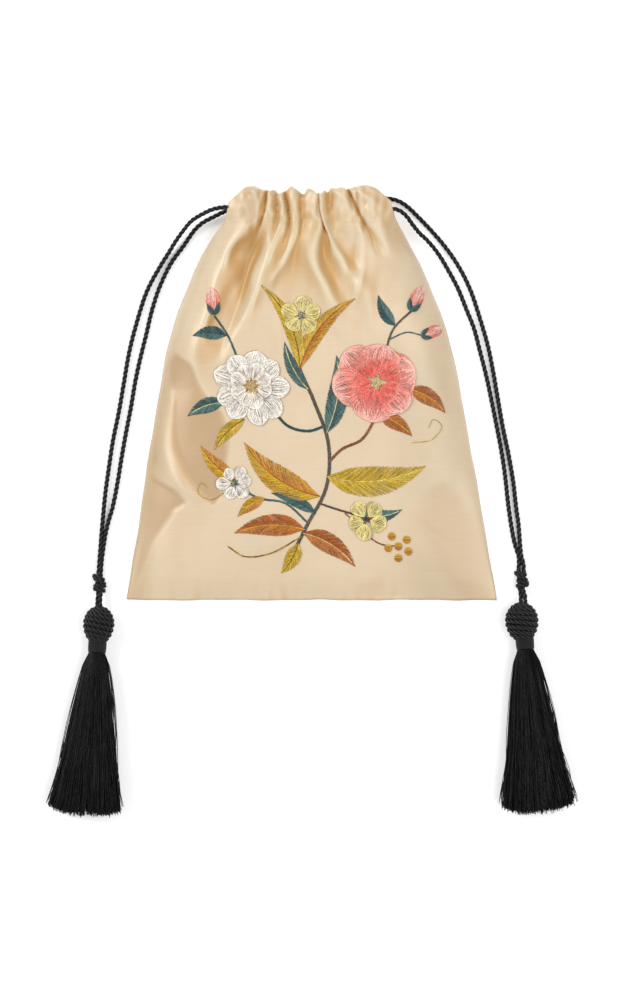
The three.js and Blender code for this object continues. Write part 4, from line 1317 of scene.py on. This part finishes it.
def blossom_stitches(work, blossom):
    """Rings of petals, every other one over its neighbours, and knots in the middle."""
    middle = np.array(blossom["middle"], float)
    for layer, (count, near, far, width, turn, colours) in enumerate(blossom["rings"]):
        for i in range(count):
            angle = math.radians(turn + 360 * i / count + work.rng.uniform(-7, 7))
            out = np.array([math.cos(angle), math.sin(angle)])
            reach = far * work.rng.uniform(0.9, 1.08)
            petal_width = width * work.rng.uniform(0.92, 1.08)
            bend = work.rng.uniform(-0.08, 0.08)
            spine = petal_spine(middle + near * out, middle + reach * out, petal_width, bend)
            over = BLOSSOM_LAYER + 2 * layer + i % 2
            work.petal(spine, colours, over)
            if blossom["outline"]:
                ts = np.linspace(0.25, 1, 26)
                for side in (-1, 1):
                    work.line(spine.at(ts, side * spine.shape(ts)), 0.3, (blossom["outline"],) * 2, over)
    count, radius, colours = blossom["knots"]
    work.knots(middle, count, radius, colours, BLOSSOM_LAYER + 2 * len(blossom["rings"]))


def bud_stitches(work, base, tip, width):
    """Two petals with a third over them, between two small leaves."""
    base, tip = np.array(base, float), np.array(tip, float)
    run = tip - base
    aside = np.array([-run[1], run[0]])
    for side in (-1, 1):
        spine = petal_spine(base + 0.1 * side * aside, tip + 0.05 * side * aside, width * 0.62, 0.12 * side)
        work.petal(spine, ("coral", "rose", "blush"), 0)
    work.petal(petal_spine(base, tip + 0.08 * run, width * 0.6), ("rose", "blush", "blush"), 1)
    for side in (-1, 1):
        leaf_tip = base + 0.4 * run + 0.26 * side * aside
        spine = leaf_spine(base - 0.1 * run, leaf_tip, width * 0.42, 0.1 * side)
        work.leaf(spine, ("teal", "sage", "teal"), 2)


def berry_stitches(work, middle):
    """Rows of satin stitch that fill a disc."""
    rows = int(2 * BERRY_RADIUS / THREAD_SPACING)
    for row in range(rows):
        aside = -1 + 2 * (row + 0.5) / rows
        half = BERRY_RADIUS * math.sqrt(1 - aside * aside)
        ends = np.array([[-half, aside * BERRY_RADIUS], [half, aside * BERRY_RADIUS]])
        path = np.array(middle) + ends[0] + (ends[1] - ends[0]) * np.linspace(0, 1, 5)[:, None]
        work.add(path, work.mix(("ochre", "gold"), row / rows), 1, arch=0.4)


def embroidery_pieces(material):
    """The embroidered spray, as one piece of greenery and one of blossoms."""
    greenery, blossoms = Stitches(11), Stitches(12)
    for thickness, colours, line in STEMS:
        path = smooth_path([(x, y, 0) for x, y in line], 0.8)[:, :2]
        greenery.line(path, thickness, colours, 0)
    for base, tip, width, bend, colours in LEAVES:
        greenery.leaf(leaf_spine(base, tip, width, bend), colours, 1)
    for berry in BERRIES:
        berry_stitches(greenery, berry)
    for base, tip, width in BUDS:
        bud_stitches(blossoms, base, tip, width)
    for blossom in BLOSSOMS:
        blossom_stitches(blossoms, blossom)
    return [thread_piece(name, work.laid(), THREAD, 4, material, work.colours)
            for name, work in (("embroidered_greenery", greenery), ("embroidered_blossoms", blossoms))]


def casing_stitches(material):
    """The row of stitches that sews the front's casing down."""
    count, share, sink, reach, rise = 58, 0.7, 0.08, 0.97, 0.8
    chains = []
    for i in range(count):
        t = np.linspace(i, i + share, 6) / count
        path = front_place(-reach + 2 * reach * t, np.full(6, CASING_START))
        path[:, 2] += SEWING_THREAD * rise * np.sin(np.linspace(0, np.pi, 6)) ** 0.5 - sink
        chains.append(path)
    return thread_piece("casing_stitches", chains, SEWING_THREAD, 5, material, [linear("champagne")] * count)


# Stage

FLOOR_REACH = 8000
FLOOR_Z = -0.3
LIGHT_AIM = (0, -0.05, 0)
# Lights: place and size in metres, and power in watts.
LIGHTS = {"key": ((-2.0, 0.9, 1.9), 1.3, 56.0), "fill": ((1.5, -0.4, 2.2), 2.0, 47.0)}


def area_light(name, place, size, power):
    """A soft light that looks at the bag."""
    light = bpy.data.lights.new(name, "AREA")
    light.energy = power
    light.size = size
    holder = bpy.data.objects.new(name, light)
    holder.location = place
    holder.rotation_euler = (Vector(LIGHT_AIM) - Vector(place)).to_track_quat("-Z", "Y").to_euler()
    bpy.context.scene.collection.objects.link(holder)


def light_stage():
    """The pale table, a white studio round it and its lights."""
    corners = [(-1, -1), (1, -1), (1, 1), (-1, 1)]
    floor = mesh_piece("table", [(FLOOR_REACH * x, FLOOR_REACH * y, FLOOR_Z) for x, y in corners],
                       faces=[(0, 1, 2, 3)], material=floor_material())
    world = bpy.data.worlds.new("studio")
    world.use_nodes = True
    background = world.node_tree.nodes["Background"].inputs
    background["Color"].default_value = (1, 1, 1, 1)
    background["Strength"].default_value = 0.5
    bpy.context.scene.world = world
    for name, (place, size, power) in LIGHTS.items():
        area_light(name, place, size, power)
    bpy.context.scene.view_settings.view_transform = "Standard"


# The whole bag

def dress(piece, node):
    """Puts a piece in the place of a solid."""
    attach(piece, "root")
    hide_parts(node)


place_camera()
cord_tree = twisted_cord_tree()
thread = thread_tree()
uneven_fibre = uneven_fibre_group()
black_cord = black_cord_material()
black_fringe = black_fringe_material()
silk = silk_material()

for name, points in STRANDS.items():
    route = smooth_path(points)
    piece = cord_piece(name + "_twist", [route])
    dress(piece, name)
for side, run in CASING_RUNS.items():
    piece = cord_piece(side + "_cord_in_casing_twist", [smooth_path(casing_route(run))])
    dress(piece, side + "_cord_in_casing")

for seed, (side, tassel) in enumerate(TASSELS.items()):
    pieces = tassel_pieces(side, tassel, seed)
    for node, piece in pieces.items():
        dress(piece, f"{side}_{node}")

front, front_points = cloth_grid("front_silk", 190, 215, front_place)
shade_folds(front, front_points)
thicken(front, -1)
back, _ = cloth_grid("back_silk", 110, 130, back_place)
thicken(back, 0)
embroidery_thread = embroidery_material()
spray = embroidery_pieces(embroidery_thread) + [casing_stitches(embroidery_thread)]
for piece in spray:
    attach(piece, "root")
for piece, node in ((front, "front_panel"), (back, "back_panel")):
    dress(piece, node)

light_stage()
